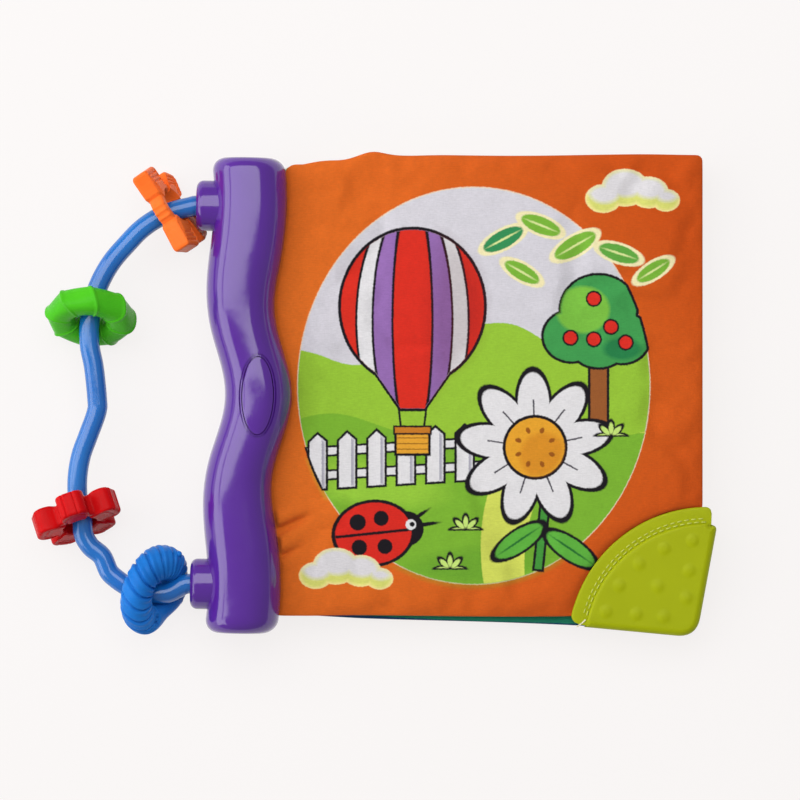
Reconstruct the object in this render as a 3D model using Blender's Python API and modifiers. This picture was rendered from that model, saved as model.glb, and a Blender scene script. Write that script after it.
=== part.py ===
"""Crinkle cloth book: four padded leaves clamped in a wavy moulded handle, with a
bead rail on the other side of the handle and a silicone teether on the front cover.

The book lies flat. +X runs from the handle to the free edges of the leaves, +Y runs
up the page and +Z is up. The origin is at the bottom centre of the whole object.
All lengths are in metres and all angles in radians.
"""

import math

import bmesh
import bpy
from mathutils import Matrix, Vector

# Clearances
GAP = 0.0003
OVERRUN = 0.004
MERGE = 0.00001

# Handle
HANDLE_LENGTH = 0.1519
HANDLE_MIDDLE_WIDTH = 0.0214
HANDLE_END_WIDTH = 0.0233
HANDLE_HEIGHT = 0.0266
HANDLE_FLAT_DEPTH = 0.0004
HANDLE_END_RADIUS = 0.0045
HANDLE_WALL = 0.0020
HANDLE_END_WALL = 0.0030
HANDLE_SQUARENESS_SHARE = 2.3
HANDLE_LEAN = math.radians(0.93)
HANDLE_SIDES = 24
HANDLE_STATIONS = 22
HANDLE_END_STEPS = 3
WAVE_HEIGHT = 0.0062
WAVE_LENGTH = 0.0627
WAVE_FADE_SHARE = 0.57
WIDENING_START = 0.024
WIDENING_END = 0.048

# Oval groove on the handle's front
OVAL_LENGTH = 0.0266
OVAL_WIDTH = 0.0118
OVAL_GROOVE_WIDTH = 0.0009
OVAL_GROOVE_DEPTH = 0.0005

# Screws that close the handle
SCREW_INNER_SHARE = 0.1712
SCREW_END_INSET = 0.00645
SCREW_OFFSET = 0.0049
SCREW_SHANK_RADIUS = 0.0012
SCREW_HEAD_RADIUS = 0.0022
SCREW_HEAD_HEIGHT = 0.0017
SCREW_REACH = 0.0080
SCREW_SEAT_DEPTH = 0.0078
SCREW_TIP_LENGTH = 0.0012
FRONT_POST_RADIUS = 0.0026
BACK_POST_RADIUS = 0.0036

# Bead rail and its bosses
TUBE_RADIUS = 0.0032
TUBE_BEVEL_SIDES = 3
TUBE_POINTS_PER_STRETCH = 2
BOSS_END_INSET = 0.01545
BOSS_RADIUS = 0.0081
BOSS_LENGTH = 0.0056
BOSS_EDGE_RADIUS = 0.0025
BOSS_ROOT_DEPTH = 0.0002
BOSS_SEAT_DEPTH = 0.0029
BOSS_SEAT_RADIUS = 0.0060
COLLAR_RADIUS = 0.0050
COLLAR_LENGTH = 0.0030
TUBE_STOP_WIDTH = 0.0100
TUBE_STOP_THICKNESS = 0.0013

# Places on the rail, as shares of the boss offset, from the middle of the handle.
# Each arc has the shares of its centre and radius, then its first and last angle.
UPPER_ARC_SHARES = (-0.2855, 0.4699, 0.5306, 100, 142)
LEFT_ARC_SHARES = (-0.2466, 0.3266, 0.6545, 145, 197)
LOWER_LEFT_ARC_SHARES = (-0.3112, -0.4828, 0.6397, 156, 197)
BOTTOM_ARC_SHARES = (-0.5240, -0.7162, 0.3388, 222, 282)
MIDDLE_WAVE_SHARES = ((-0.8530, -0.0280), (-0.8540, -0.0990))
BOTTOM_WAVE_SHARES = ((-0.9120, -0.7520), (-0.8740, -0.8130), (-0.8140, -0.8630))
BOSS_APPROACH_SHARES = ((-0.3830, -1.0080),)
ARC_DEGREES_PER_POINT = 10

# Beads: rest angle on the arc, yaw and tilt of the bore, and offset from the rail
BEAD_BORE_RADIUS = 0.0054
BEAD_MOUTH_RADIUS = 0.0064
RING_RADIUS = 0.0100
RING_SECTION = 0.0043
RING_SIDES = 10
ORANGE_PLACE = (math.radians(113.5), math.radians(6), math.radians(-20))
GREEN_PLACE = (math.radians(172.8), math.radians(4), math.radians(25))
RED_PLACE = (math.radians(194.9), math.radians(5), math.radians(23))
BLUE_PLACE = (math.radians(-92), math.radians(-15), math.radians(25))
ORANGE_OFFSET = 0.0010
GREEN_OFFSET = -0.0008
RED_OFFSET = 0.0012
BLUE_OFFSET = -0.0008
RING_LIFT = 0.0006

# Butterfly bead
UPPER_WING = (0.0102, 0.0092, 0.0062)
UPPER_WING_PLACE = (0.0093, 0.0040)
UPPER_WING_TURN = math.radians(10)
LOWER_WING = (0.0076, 0.0072, 0.0056)
LOWER_WING_PLACE = (0.0066, -0.0080)
LOWER_WING_TURN = math.radians(-20)
WING_EDGE = 0.0010
BUTTERFLY_HUB_RADIUS = 0.0085
BUTTERFLY_HUB_THICKNESS = 0.0048
BODY_RIB_RADIUS = 0.0012
BODY_RIB_PITCH = 0.0024

# Five-lobed bead
LOBE_COUNT = 5
LOBE_RADIUS = 0.0045
LOBE_PLACE = 0.0099
LOBE_THICKNESS = 0.0072
LOBE_EDGE = 0.0012
LOBE_GROOVE_RADIUS = 0.0007
LOBED_HUB_RADIUS = 0.0088
LOBED_HUB_THICKNESS = 0.0060

# Twisted ring bead
FLUTE_COUNT = 8
FLUTE_STEPS = 5
FLUTE_DEPTH_SHARE = 0.085

# Snail bead
RIB_COUNT = 13
RIB_STEPS = 3
RIB_DEPTH_SHARE = 0.10
SNAIL_HEAD_ANGLE = math.radians(225)
SNAIL_HEAD_SPREAD = math.radians(38)
SNAIL_EYE_RADIUS = 0.0011
SNAIL_HORN_ANGLE = math.radians(42)
SNAIL_HORN_RADIUS = 0.0013

# Leaves
LEAF_NAMES = ("front_cover", "leaf_2", "leaf_3", "back_cover")
LEAF_HALF_THICKNESS = 0.0015
LEAF_PITCH = 0.0037
LEAF_TOP_OVERHANG = 0.00095
LEAF_BOTTOM_INSET = 0.00565
HINGE_PLACE = 0.0143
HINGE_STAGGER = 0.0016
FREE_EDGE = 0.1420
LEAF_TRIMS = (0.0, 0.0008, 0.0014, 0.0004)
LEAF_SAGS = (0.0, 0.0032, 0.0024, 0.0010)
LEAF_CORNER_RADIUS = 0.0016
TOP_DIP = 0.0030
TOP_DIP_LENGTH = 0.0280
CLOTH_THICKNESS = 0.0004
FILM_THICKNESS = 0.0002
WADDING_THICKNESS = 0.0010
FILM_HEIGHT = 0.0007
WADDING_HEIGHT = -0.00025
FILLING_INSET = 0.0050
EDGE_ROLL = 0.0090
EDGE_STATION_SHARES = (0, 0.3, 1)
CROWN_SHARE = 0.1
CLOTH_CELLS = 5
FILLING_CELLS = 3

# Margins and binding
MARGIN_THICKNESS = 0.0009
MARGIN_INNER = -0.0035
MARGIN_BEND = 0.0106
MARGIN_BEND_STEP = 0.0006
MARGIN_TOP_INSET = 0.00455
BACK_MARGIN_RISE = 0.0010
BACK_MARGIN_END = 0.0005
BINDING_THICKNESS = 0.0005
BINDING_END_INSET = 0.01195
BINDING_REACH = 0.0004
BINDING_TURN = -0.0029
BINDING_TURN_STEPS = 6
CLAMP_PLACE = -0.0014
CLAMP_WIDTH = 0.0038
CLAMP_END_INSET = 0.01595
PIN_RADIUS = 0.0009
PIN_PLACE_SHARES = (-0.5925, 0.0, 0.5925)
PIN_REACH = 0.0085
GUSSET_END = -0.0085
GUSSET_THICKNESS = 0.0012
GUSSET_CLEARANCE = 0.0030
SLOT_END_INSET = 0.00355

# Corner teether
TEETHER_CENTRE = (0.0016, -0.0099)
TEETHER_FLANGE_RADIUS = 0.0446
TEETHER_STITCH_RADIUS = 0.0393
TEETHER_POCKET_RADIUS = 0.0372
TEETHER_FLANGE_START = math.radians(89.0)
TEETHER_FLANGE_END = math.radians(169.5)
TEETHER_LIP = 0.0009
TEETHER_TOP = 0.0024
TEETHER_UNDERSIDE = 0.0018
TEETHER_SIDE_OVERHANG = 0.0048
TEETHER_SIDE_DRAW = 0.0066
TEETHER_BOTTOM_OVERHANG = 0.0037
TEETHER_BOTTOM_DRAW = 0.0034
TEETHER_CORNER_RADIUS = 0.0065
TEETHER_EDGE = 0.0006
TEETHER_ARC_STEPS = 14
NUB_RADIUS = 0.0027
NUB_HEIGHT = 0.0007
NUB_DIRECTION = math.radians(129.5)
NUB_RINGS = ((0.0343, 5, math.radians(63)), (0.0250, 3, math.radians(52)), (0.0169, 2, math.radians(32)))

# Derived places
AXIS_HEIGHT = HANDLE_HEIGHT / 2 - HANDLE_FLAT_DEPTH
SCREW_INNER_PLACE = SCREW_INNER_SHARE * HANDLE_LENGTH
SCREW_OUTER_PLACE = HANDLE_LENGTH / 2 - SCREW_END_INSET
BOSS_OFFSET = HANDLE_LENGTH / 2 - BOSS_END_INSET
LEAF_TOP = HANDLE_LENGTH / 2 + LEAF_TOP_OVERHANG
LEAF_BOTTOM = LEAF_BOTTOM_INSET - HANDLE_LENGTH / 2
MARGIN_TOP = HANDLE_LENGTH / 2 - MARGIN_TOP_INSET
BINDING_HALF_LENGTH = HANDLE_LENGTH / 2 - BINDING_END_INSET
CLAMP_HALF_LENGTH = HANDLE_LENGTH / 2 - CLAMP_END_INSET
GUSSET_OFFSET = BOSS_OFFSET - BOSS_RADIUS - GUSSET_CLEARANCE
SLOT_HALF_LENGTH = HANDLE_LENGTH / 2 - SLOT_END_INSET
PIN_PLACES = [share * HANDLE_LENGTH / 2 for share in PIN_PLACE_SHARES]
STACK_HEIGHT = 4 * MARGIN_THICKNESS + 3 * GAP
STACK_MIDDLE = -GAP / 2 - STACK_HEIGHT / 2
BINDING_RADIUS = STACK_HEIGHT / 2 + GAP + BINDING_THICKNESS / 2
SEAM_HALF_GAP = GAP / 2
SEAM_HALF_THICKNESS = SEAM_HALF_GAP + CLOTH_THICKNESS


def clear_scene():
    for obj in list(bpy.data.objects):
        bpy.data.objects.remove(obj, do_unlink=True)


def new_collection(name):
    collection = bpy.data.collections.new(name)
    bpy.context.scene.collection.children.link(collection)
    return collection


def new_material(name, colour, roughness):
    material = bpy.data.materials.new(name)
    material.use_nodes = True
    shader = material.node_tree.nodes["Principled BSDF"]
    shader.inputs["Base Color"].default_value = (*colour, 1)
    shader.inputs["Roughness"].default_value = roughness
    shader.inputs["Metallic"].default_value = 0
    return material


def new_empty(name, parent, location, turn=0):
    empty = bpy.data.objects.new(name, None)
    PARTS.objects.link(empty)
    empty.parent = parent
    empty.location = location
    empty.rotation_euler = (0, 0, turn)
    return empty


def add_object(name, mesh, parent, material=None):
    """Link a mesh as a part, or as a hidden cutter when it has no material."""
    obj = bpy.data.objects.new(name, mesh)
    obj.parent = parent
    if material:
        PARTS.objects.link(obj)
        mesh.materials.append(material)
    else:
        CUTTERS.objects.link(obj)
        obj.hide_render = True
        obj.display_type = "WIRE"
    mesh.shade_smooth()
    mesh.set_sharp_from_angle(angle=math.radians(32))
    return obj


def mesh_of(name, work):
    bmesh.ops.recalc_face_normals(work, faces=work.faces)
    mesh = bpy.data.meshes.new(name)
    work.to_mesh(mesh)
    work.free()
    return mesh


def boolean(obj, other, operation):
    modifier = obj.modifiers.new(operation.title(), "BOOLEAN")
    modifier.object = other
    modifier.operation = operation
    modifier.solver = "EXACT"
    return modifier


def smoothstep(share):
    share = min(1, max(0, share))
    return share * share * (3 - 2 * share)


def loft(name, rings, closed=False):
    """Skin a list of point rings; the ends get flat caps unless the loft is closed."""
    work = bmesh.new()
    loops = [[work.verts.new(point) for point in ring] for ring in rings]
    count = len(loops[0])
    pairs = list(zip(loops, loops[1:]))
    if closed:
        pairs.append((loops[-1], loops[0]))
    for first, second in pairs:
        for side in range(count):
            after = (side + 1) % count
            work.faces.new((first[side], first[after], second[after], second[side]))
    if not closed:
        work.faces.new(loops[0])
        work.faces.new(loops[-1])
    return mesh_of(name, work)


def box_mesh(name, low, high):
    work = bmesh.new()
    add_box(work, low, high)
    return mesh_of(name, work)


def add_cylinder(work, x, y, radius, low, high, segments=16):
    """An upright cylinder between two heights."""
    place = Matrix.Translation((x, y, (low + high) / 2))
    bmesh.ops.create_cone(work, cap_ends=True, segments=segments, radius1=radius,
                          radius2=radius, depth=high - low, matrix=place)


def add_side_cylinder(work, y, radius, far, near, segments=20):
    """A level cylinder along X, between two distances on the tube's side of the handle."""
    turn = Matrix.Rotation(math.pi / 2, 4, "Y")
    place = Matrix.Translation((-(far + near) / 2, y, 0)) @ turn
    bmesh.ops.create_cone(work, cap_ends=True, segments=segments, radius1=radius,
                          radius2=radius, depth=far - near, matrix=place)


def add_box(work, low, high):
    low, high = Vector(low), Vector(high)
    made = bmesh.ops.create_cube(work, size=1)["verts"]
    bmesh.ops.scale(work, vec=high - low, verts=made)
    bmesh.ops.translate(work, vec=(low + high) / 2, verts=made)


def cylinders_mesh(name, cylinders, segments=16):
    """Upright cylinders that stay clear of each other: (x, y, radius, low z, high z)."""
    work = bmesh.new()
    for cylinder in cylinders:
        add_cylinder(work, *cylinder, segments)
    return mesh_of(name, work)


def turned(name, profile, parent, material=None, steps=24, loop=False):
    """Turn an outline of (radius, height) points, given top to bottom on its outer side."""
    mesh = bpy.data.meshes.new(name)
    count = len(profile)
    edges = [(i, i + 1) for i in range(count - 1)]
    if loop:
        edges.append((count - 1, 0))
    mesh.from_pydata([(radius, 0, height) for radius, height in profile], edges, [])
    obj = add_object(name, mesh, parent, material)
    screw = obj.modifiers.new("Screw", "SCREW")
    screw.steps = steps
    screw.render_steps = steps
    screw.use_merge_vertices = True
    screw.merge_threshold = MERGE
    screw.use_smooth_shade = True
    return obj


def sheet(name, rows, thickness, parent, material):
    """A thin even layer on a grid of mid-surface points."""
    work = bmesh.new()
    grid = [[work.verts.new(point) for point in row] for row in rows]
    for lower, upper in zip(grid, grid[1:]):
        for i in range(len(lower) - 1):
            work.faces.new((lower[i], lower[i + 1], upper[i + 1], upper[i]))
    obj = add_object(name, mesh_of(name, work), parent, material)
    solidify = obj.modifiers.new("Thickness", "SOLIDIFY")
    solidify.thickness = thickness
    solidify.offset = 0
    return obj


# Handle

def handle_centre(along):
    """Sideways place of the handle's wavy centre line: a cosine that fades to the ends."""
    wave = (1 + math.cos(2 * math.pi * along / WAVE_LENGTH)) / 2
    fade = 1 - WAVE_FADE_SHARE * smoothstep(abs(along) / WAVE_LENGTH)
    return -WAVE_HEIGHT * (1 - wave * fade)


def handle_half_width(along):
    widening = smoothstep((abs(along) - WIDENING_START) / (WIDENING_END - WIDENING_START))
    return (HANDLE_MIDDLE_WIDTH + (HANDLE_END_WIDTH - HANDLE_MIDDLE_WIDTH) * widening) / 2


def handle_section(along, inset):
    half_width = handle_half_width(along) - inset
    half_height = HANDLE_HEIGHT / 2 - inset
    power = 2 / HANDLE_SQUARENESS_SHARE
    ring = []
    for side in range(HANDLE_SIDES):
        angle = 2 * math.pi * side / HANDLE_SIDES
        across, up = math.cos(angle), math.sin(angle)
        x = handle_centre(along) + half_width * math.copysign(abs(across) ** power, across)
        z = half_height * math.copysign(abs(up) ** power, up)
        ring.append((x, along, z))
    return ring


def handle_loft(name, inset, end_inset):
    """The handle's wavy body, set in from its surface, with rounded end edges."""
    radius = HANDLE_END_RADIUS - inset
    straight = HANDLE_LENGTH / 2 - end_inset - radius
    places = []
    for step in range(HANDLE_STATIONS + 1):
        places.append((straight * (2 * step / HANDLE_STATIONS - 1), 0))
    for step in range(1, HANDLE_END_STEPS + 1):
        angle = math.pi / 2 * step / HANDLE_END_STEPS
        out, shrink = radius * math.sin(angle), radius * (1 - math.cos(angle))
        places.append((straight + out, shrink))
        places.insert(0, (-straight - out, shrink))
    return loft(name, [handle_section(along, inset + shrink) for along, shrink in places])


def screw_places():
    places = []
    for along in (SCREW_OUTER_PLACE, SCREW_INNER_PLACE, -SCREW_INNER_PLACE, -SCREW_OUTER_PLACE):
        places.append((handle_centre(along) - SCREW_OFFSET, along))
    return places


def boss_edge():
    """Distance of the handle's tube side from its middle line, at the bosses."""
    return handle_half_width(BOSS_OFFSET) - handle_centre(BOSS_OFFSET)


def boss_reach():
    return boss_edge() + BOSS_LENGTH


def boss_seat():
    return boss_edge() - BOSS_SEAT_DEPTH


def boss_body(name, side, parent):
    """A round stub with a rounded outer rim, turned and laid along -X."""
    root = boss_edge() - BOSS_ROOT_DEPTH - HANDLE_WALL
    profile = [(0, boss_reach())]
    for step in range(5):
        angle = math.pi / 2 * step / 4
        profile.append((BOSS_RADIUS - BOSS_EDGE_RADIUS + BOSS_EDGE_RADIUS * math.sin(angle),
                        boss_reach() - BOSS_EDGE_RADIUS + BOSS_EDGE_RADIUS * math.cos(angle)))
    profile += [(BOSS_RADIUS, root), (0, root)]
    boss = turned(name, profile, parent)
    boss.location = (0, side * BOSS_OFFSET, 0)
    boss.rotation_euler = (0, -math.pi / 2, 0)
    return boss


def clamp_gap(front):
    """Height at which a clamping rib stops short of the binding tape."""
    reach = BINDING_RADIUS + BINDING_THICKNESS / 2 + GAP
    return STACK_MIDDLE + (reach if front else -reach)


def handle_features(name, parent, front):
    """Posts, clamping rib, gussets, tube seats and stops inside one shell, trimmed to mid wall."""
    work = bmesh.new()
    depth = HANDLE_HEIGHT / 2 if front else -HANDLE_HEIGHT / 2
    post_radius = FRONT_POST_RADIUS if front else BACK_POST_RADIUS
    for x, y in screw_places():
        add_cylinder(work, x, y, post_radius, min(0, depth), max(0, depth))
    rib = clamp_gap(front)
    add_box(work, (CLAMP_PLACE - CLAMP_WIDTH / 2, -CLAMP_HALF_LENGTH, min(rib, depth)),
            (CLAMP_PLACE + CLAMP_WIDTH / 2, CLAMP_HALF_LENGTH, max(rib, depth)))
    stop = -boss_seat() + GAP + COLLAR_LENGTH + GAP
    for side in (1, -1):
        middle = side * BOSS_OFFSET
        add_box(work, (stop, middle - TUBE_STOP_WIDTH / 2, min(0, depth)),
                (stop + TUBE_STOP_THICKNESS, middle + TUBE_STOP_WIDTH / 2, max(0, depth)))
        add_side_cylinder(work, middle, BOSS_SEAT_RADIUS, boss_edge() - BOSS_ROOT_DEPTH, boss_seat())
        add_box(work, (-HANDLE_END_WIDTH, side * GUSSET_OFFSET - GUSSET_THICKNESS / 2, min(0, depth)),
                (GUSSET_END, side * GUSSET_OFFSET + GUSSET_THICKNESS / 2, max(0, depth)))
    features = add_object(name, mesh_of(name, work), parent)
    boolean(features, MID_WALL, "INTERSECT")
    return features


def shell_bores(name, parent):
    """Holes for the screws' shanks and for the two ends of the tube."""
    work = bmesh.new()
    for x, y in screw_places():
        add_cylinder(work, x, y, SCREW_SHANK_RADIUS + GAP, -SCREW_SEAT_DEPTH - GAP, SCREW_REACH + GAP, 12)
    for side in (1, -1):
        add_side_cylinder(work, side * BOSS_OFFSET, TUBE_RADIUS + GAP, boss_reach() + OVERRUN,
                          boss_seat() - OVERRUN / 2)
    return add_object(name, mesh_of(name, work), parent)


def oval_groove(parent):
    """A thin oval ring, cut only as deep as the groove by taking out the body below it."""
    ring = []
    count = 40
    for radius_x, radius_y in ((OVAL_WIDTH / 2, OVAL_LENGTH / 2),
                               (OVAL_WIDTH / 2 - OVAL_GROOVE_WIDTH, OVAL_LENGTH / 2 - OVAL_GROOVE_WIDTH)):
        ring.append([(radius_x * math.cos(2 * math.pi * i / count),
                      radius_y * math.sin(2 * math.pi * i / count)) for i in range(count)])
    top = HANDLE_HEIGHT / 2 + OVERRUN
    rings = []
    for outline, height in ((ring[0], 0), (ring[0], top), (ring[1], top), (ring[1], 0)):
        rings.append([(x, y, height) for x, y in outline])
    groove = add_object("oval_groove_cutter", loft("oval_groove_cutter", rings, closed=True), parent)
    floor = add_object("oval_groove_floor", handle_loft("oval_groove_floor", OVAL_GROOVE_DEPTH, OVAL_GROOVE_DEPTH),
                       parent)
    boolean(groove, floor, "DIFFERENCE")
    return groove


def handle_shell(name, front, parent, material):
    up = 1 if front else -1
    shell = add_object(name, handle_loft(name, 0, 0), parent, material)
    for side, boss_name in ((1, "upper_boss"), (-1, "lower_boss")):
        boolean(shell, boss_body(f"{name}_{boss_name}", side, parent), "UNION")
    cavity = handle_loft(name + "_cavity", HANDLE_WALL, HANDLE_END_WALL)
    boolean(shell, add_object(name + "_cavity", cavity, parent), "DIFFERENCE")
    boolean(shell, handle_features(name + "_features", parent, front), "UNION")
    reach = HANDLE_LENGTH
    low, high = (-reach, GAP / 2) if front else (-GAP / 2, reach)
    other_half = box_mesh(name + "_other_half", (-reach, -reach, low), (reach, reach, high))
    boolean(shell, add_object(name + "_other_half", other_half, parent), "DIFFERENCE")

    boolean(shell, shell_bores(name + "_bores", parent), "DIFFERENCE")

    if front:
        pins = [(CLAMP_PLACE, y, PIN_RADIUS, -PIN_REACH, clamp_gap(front) + HANDLE_WALL) for y in PIN_PLACES]
        boolean(shell, add_object(name + "_pins", cylinders_mesh(name + "_pins", pins, 12), parent), "UNION")
        boolean(shell, oval_groove(parent), "DIFFERENCE")
        return shell

    sockets = [(CLAMP_PLACE, y, PIN_RADIUS + GAP, -PIN_REACH - GAP, 0) for y in PIN_PLACES]
    sockets += [(x, y, SCREW_HEAD_RADIUS + GAP, -HANDLE_HEIGHT, -SCREW_SEAT_DEPTH) for x, y in screw_places()]
    boolean(shell, add_object(name + "_sockets", cylinders_mesh(name + "_sockets", sockets), parent), "DIFFERENCE")
    slot_low = STACK_MIDDLE - STACK_HEIGHT / 2 - GAP
    slot = box_mesh(name + "_slot", (0, -SLOT_HALF_LENGTH, slot_low), (HANDLE_END_WIDTH, SLOT_HALF_LENGTH, OVERRUN))
    boolean(shell, add_object(name + "_slot", slot, parent), "DIFFERENCE")
    floor = box_mesh(name + "_floor", (-reach, -reach, -HANDLE_HEIGHT), (reach, reach, -AXIS_HEIGHT))
    boolean(shell, add_object(name + "_floor", floor, parent), "DIFFERENCE")
    return shell


def handle_screw(number, place, parent, material):
    tip, seat = SCREW_REACH, -SCREW_SEAT_DEPTH - GAP
    head = seat - SCREW_HEAD_HEIGHT
    profile = [(0, tip), (SCREW_SHANK_RADIUS / 3, tip), (SCREW_SHANK_RADIUS, tip - SCREW_TIP_LENGTH),
               (SCREW_SHANK_RADIUS, seat), (SCREW_HEAD_RADIUS, seat),
               (SCREW_HEAD_RADIUS, seat - SCREW_HEAD_HEIGHT / 2),
               (SCREW_HEAD_RADIUS - SCREW_HEAD_HEIGHT / 2, head), (0, head)]
    screw = turned(f"handle_screw_{number}", profile, parent, material, steps=16)
    screw.location = (*place, 0)


def tube_collar(name, side, parent, material):
    inner, outer = TUBE_RADIUS + GAP, COLLAR_RADIUS
    far, near = boss_seat() - GAP, boss_seat() - GAP - COLLAR_LENGTH
    profile = [(inner, far), (outer, far), (outer, near), (inner, near)]
    collar = turned(name, profile, parent, material, loop=True)
    collar.location = (0, side * BOSS_OFFSET, 0)
    collar.rotation_euler = (0, -math.pi / 2, 0)


# Bead rail

def arc_centre(arc):
    return Vector((arc[0] * BOSS_OFFSET, arc[1] * BOSS_OFFSET, 0))


def arc_points(arc):
    first, last = arc[3], arc[4]
    count = max(2, round((last - first) / ARC_DEGREES_PER_POINT))
    points = []
    for step in range(count + 1):
        angle = math.radians(first + (last - first) * step / count)
        points.append(arc_centre(arc) + arc[2] * BOSS_OFFSET * Vector((math.cos(angle), math.sin(angle), 0)))
    return points


def rail_route():
    """Control points of the rail, from inside the upper boss to inside the lower one."""
    inner = boss_seat() - GAP - COLLAR_LENGTH
    ends = [Vector((-inner, BOSS_OFFSET, 0)), Vector((-(inner + boss_reach()) / 2, BOSS_OFFSET, 0)),
            Vector((-boss_reach(), BOSS_OFFSET, 0))]
    route = list(ends)
    route += arc_points(UPPER_ARC_SHARES)
    route += arc_points(LEFT_ARC_SHARES)
    route += [Vector((x * BOSS_OFFSET, y * BOSS_OFFSET, 0)) for x, y in MIDDLE_WAVE_SHARES]
    route += arc_points(LOWER_LEFT_ARC_SHARES)
    route += [Vector((x * BOSS_OFFSET, y * BOSS_OFFSET, 0)) for x, y in BOTTOM_WAVE_SHARES]
    route += arc_points(BOTTOM_ARC_SHARES)
    route += [Vector((x * BOSS_OFFSET, y * BOSS_OFFSET, 0)) for x, y in BOSS_APPROACH_SHARES]
    route += [Vector((point.x, -point.y, 0)) for point in reversed(ends)]
    return route


def smooth_route(points, steps):
    """Points read from a Catmull-Rom curve through the route's own points."""
    padded = [2 * points[0] - points[1]] + points + [2 * points[-1] - points[-2]]
    route = []
    for before, start, end, after in zip(padded, padded[1:], padded[2:], padded[3:]):
        for step in range(steps):
            t = step / steps
            route.append((2 * start + (end - before) * t + (2 * before - 5 * start + 4 * end - after) * t ** 2
                          + (3 * start - 3 * end + after - before) * t ** 3) / 2)
    route.append(points[-1])
    return route


def tube_loop(parent, material):
    curve = bpy.data.curves.new("tube_loop", "CURVE")
    curve.dimensions = "3D"
    curve.bevel_depth = TUBE_RADIUS
    curve.bevel_resolution = TUBE_BEVEL_SIDES
    curve.use_fill_caps = True
    points = smooth_route(rail_route(), TUBE_POINTS_PER_STRETCH)
    spline = curve.splines.new("POLY")
    spline.points.add(len(points) - 1)
    for point, place in zip(spline.points, points):
        point.co = (*place, 1)
    curve.materials.append(material)
    obj = bpy.data.objects.new("tube_loop", curve)
    PARTS.objects.link(obj)
    obj.parent = parent


# Beads: each is made with its bore along local Z and its top at local +Y

def bead_matrix(arc, place, offset, lift):
    """Seat of a bead on its arc, relative to the arc's centre."""
    angle, yaw, tilt = place
    radius = arc[2] * BOSS_OFFSET + offset
    centre = Vector((radius * math.cos(angle), radius * math.sin(angle), lift))
    heading = angle + math.pi / 2 + yaw
    along = Vector((math.cos(heading), math.sin(heading), 0))
    bore = along * math.cos(tilt) + Vector((0, 0, 1)) * math.sin(tilt)
    top = Vector((0, 0, 1)) * math.cos(tilt) - along * math.sin(tilt)
    across = top.cross(bore)
    return Matrix.Translation(centre) @ Matrix((across, top, bore)).transposed().to_4x4()


def bore_cutter(name, thickness, parent):
    """Hourglass bore, so that a tilted bead clears the rail."""
    half = thickness / 2 + OVERRUN / 4
    profile = [(0, half), (BEAD_MOUTH_RADIUS, half), (BEAD_BORE_RADIUS, thickness / 6),
               (BEAD_BORE_RADIUS, -thickness / 6), (BEAD_MOUTH_RADIUS, -half), (0, -half)]
    return turned(name, profile, parent, steps=24)


def rounded_block(name, size, edge, parent):
    block = add_object(name, box_mesh(name, -Vector(size) / 2, Vector(size) / 2), parent)
    bevel = block.modifiers.new("Rounded edges", "BEVEL")
    bevel.width = edge
    bevel.segments = 2
    bevel.limit_method = "NONE"
    return block


def disc_mesh(name, radius, thickness, segments=24):
    return cylinders_mesh(name, [(0, 0, radius, -thickness / 2, thickness / 2)], segments)


def butterfly_bead(name, parent, material):
    bead = add_object(name, disc_mesh(name, BUTTERFLY_HUB_RADIUS, BUTTERFLY_HUB_THICKNESS), parent, material)
    for side in (1, -1):
        for wing, size, place, turn in (("upper", UPPER_WING, UPPER_WING_PLACE, UPPER_WING_TURN),
                                        ("lower", LOWER_WING, LOWER_WING_PLACE, LOWER_WING_TURN)):
            block = rounded_block(f"{name}_{wing}_wing_{1 if side > 0 else 2}", size, WING_EDGE, bead)
            block.location = (side * place[0], place[1], 0)
            block.rotation_euler = (0, 0, side * turn)
            boolean(bead, block, "UNION")
    for number in (-1, 0, 1):
        rib = cylinders_mesh(f"{name}_rib_{number + 2}",
                             [(0, 0, BODY_RIB_RADIUS, -BUTTERFLY_HUB_THICKNESS / 2, BUTTERFLY_HUB_THICKNESS / 2)], 10)
        rib_object = add_object(f"{name}_rib_{number + 2}", rib, bead)
        angle = math.pi / 2 + number * BODY_RIB_PITCH / BUTTERFLY_HUB_RADIUS
        rib_object.location = (BUTTERFLY_HUB_RADIUS * math.cos(angle), BUTTERFLY_HUB_RADIUS * math.sin(angle), 0)
        boolean(bead, rib_object, "UNION")
    boolean(bead, bore_cutter(name + "_bore", UPPER_WING[2], bead), "DIFFERENCE")
    return bead


def lobed_bead(name, parent, material):
    bead = add_object(name, disc_mesh(name, LOBED_HUB_RADIUS, LOBED_HUB_THICKNESS), parent, material)
    for number in range(LOBE_COUNT):
        angle = math.pi / 2 + 2 * math.pi * number / LOBE_COUNT
        lobe_name = f"{name}_lobe_{number + 1}"
        lobe = add_object(lobe_name, disc_mesh(lobe_name, LOBE_RADIUS, LOBE_THICKNESS, 14), bead)
        lobe.location = (LOBE_PLACE * math.cos(angle), LOBE_PLACE * math.sin(angle), 0)
        bevel = lobe.modifiers.new("Rounded edges", "BEVEL")
        bevel.width = LOBE_EDGE
        bevel.segments = 2
        bevel.angle_limit = math.radians(60)
        boolean(bead, lobe, "UNION")
    rim = LOBE_PLACE + LOBE_RADIUS + LOBE_GROOVE_RADIUS / 3
    grooves = []
    for number in range(LOBE_COUNT):
        angle = math.pi / 2 + 2 * math.pi * number / LOBE_COUNT
        grooves.append((rim * math.cos(angle), rim * math.sin(angle), LOBE_GROOVE_RADIUS,
                        -LOBE_THICKNESS, LOBE_THICKNESS))
    cutter = add_object(name + "_grooves", cylinders_mesh(name + "_grooves", grooves, 8), bead)
    boolean(bead, cutter, "DIFFERENCE")
    boolean(bead, bore_cutter(name + "_bore", LOBE_THICKNESS, bead), "DIFFERENCE")
    return bead


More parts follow.
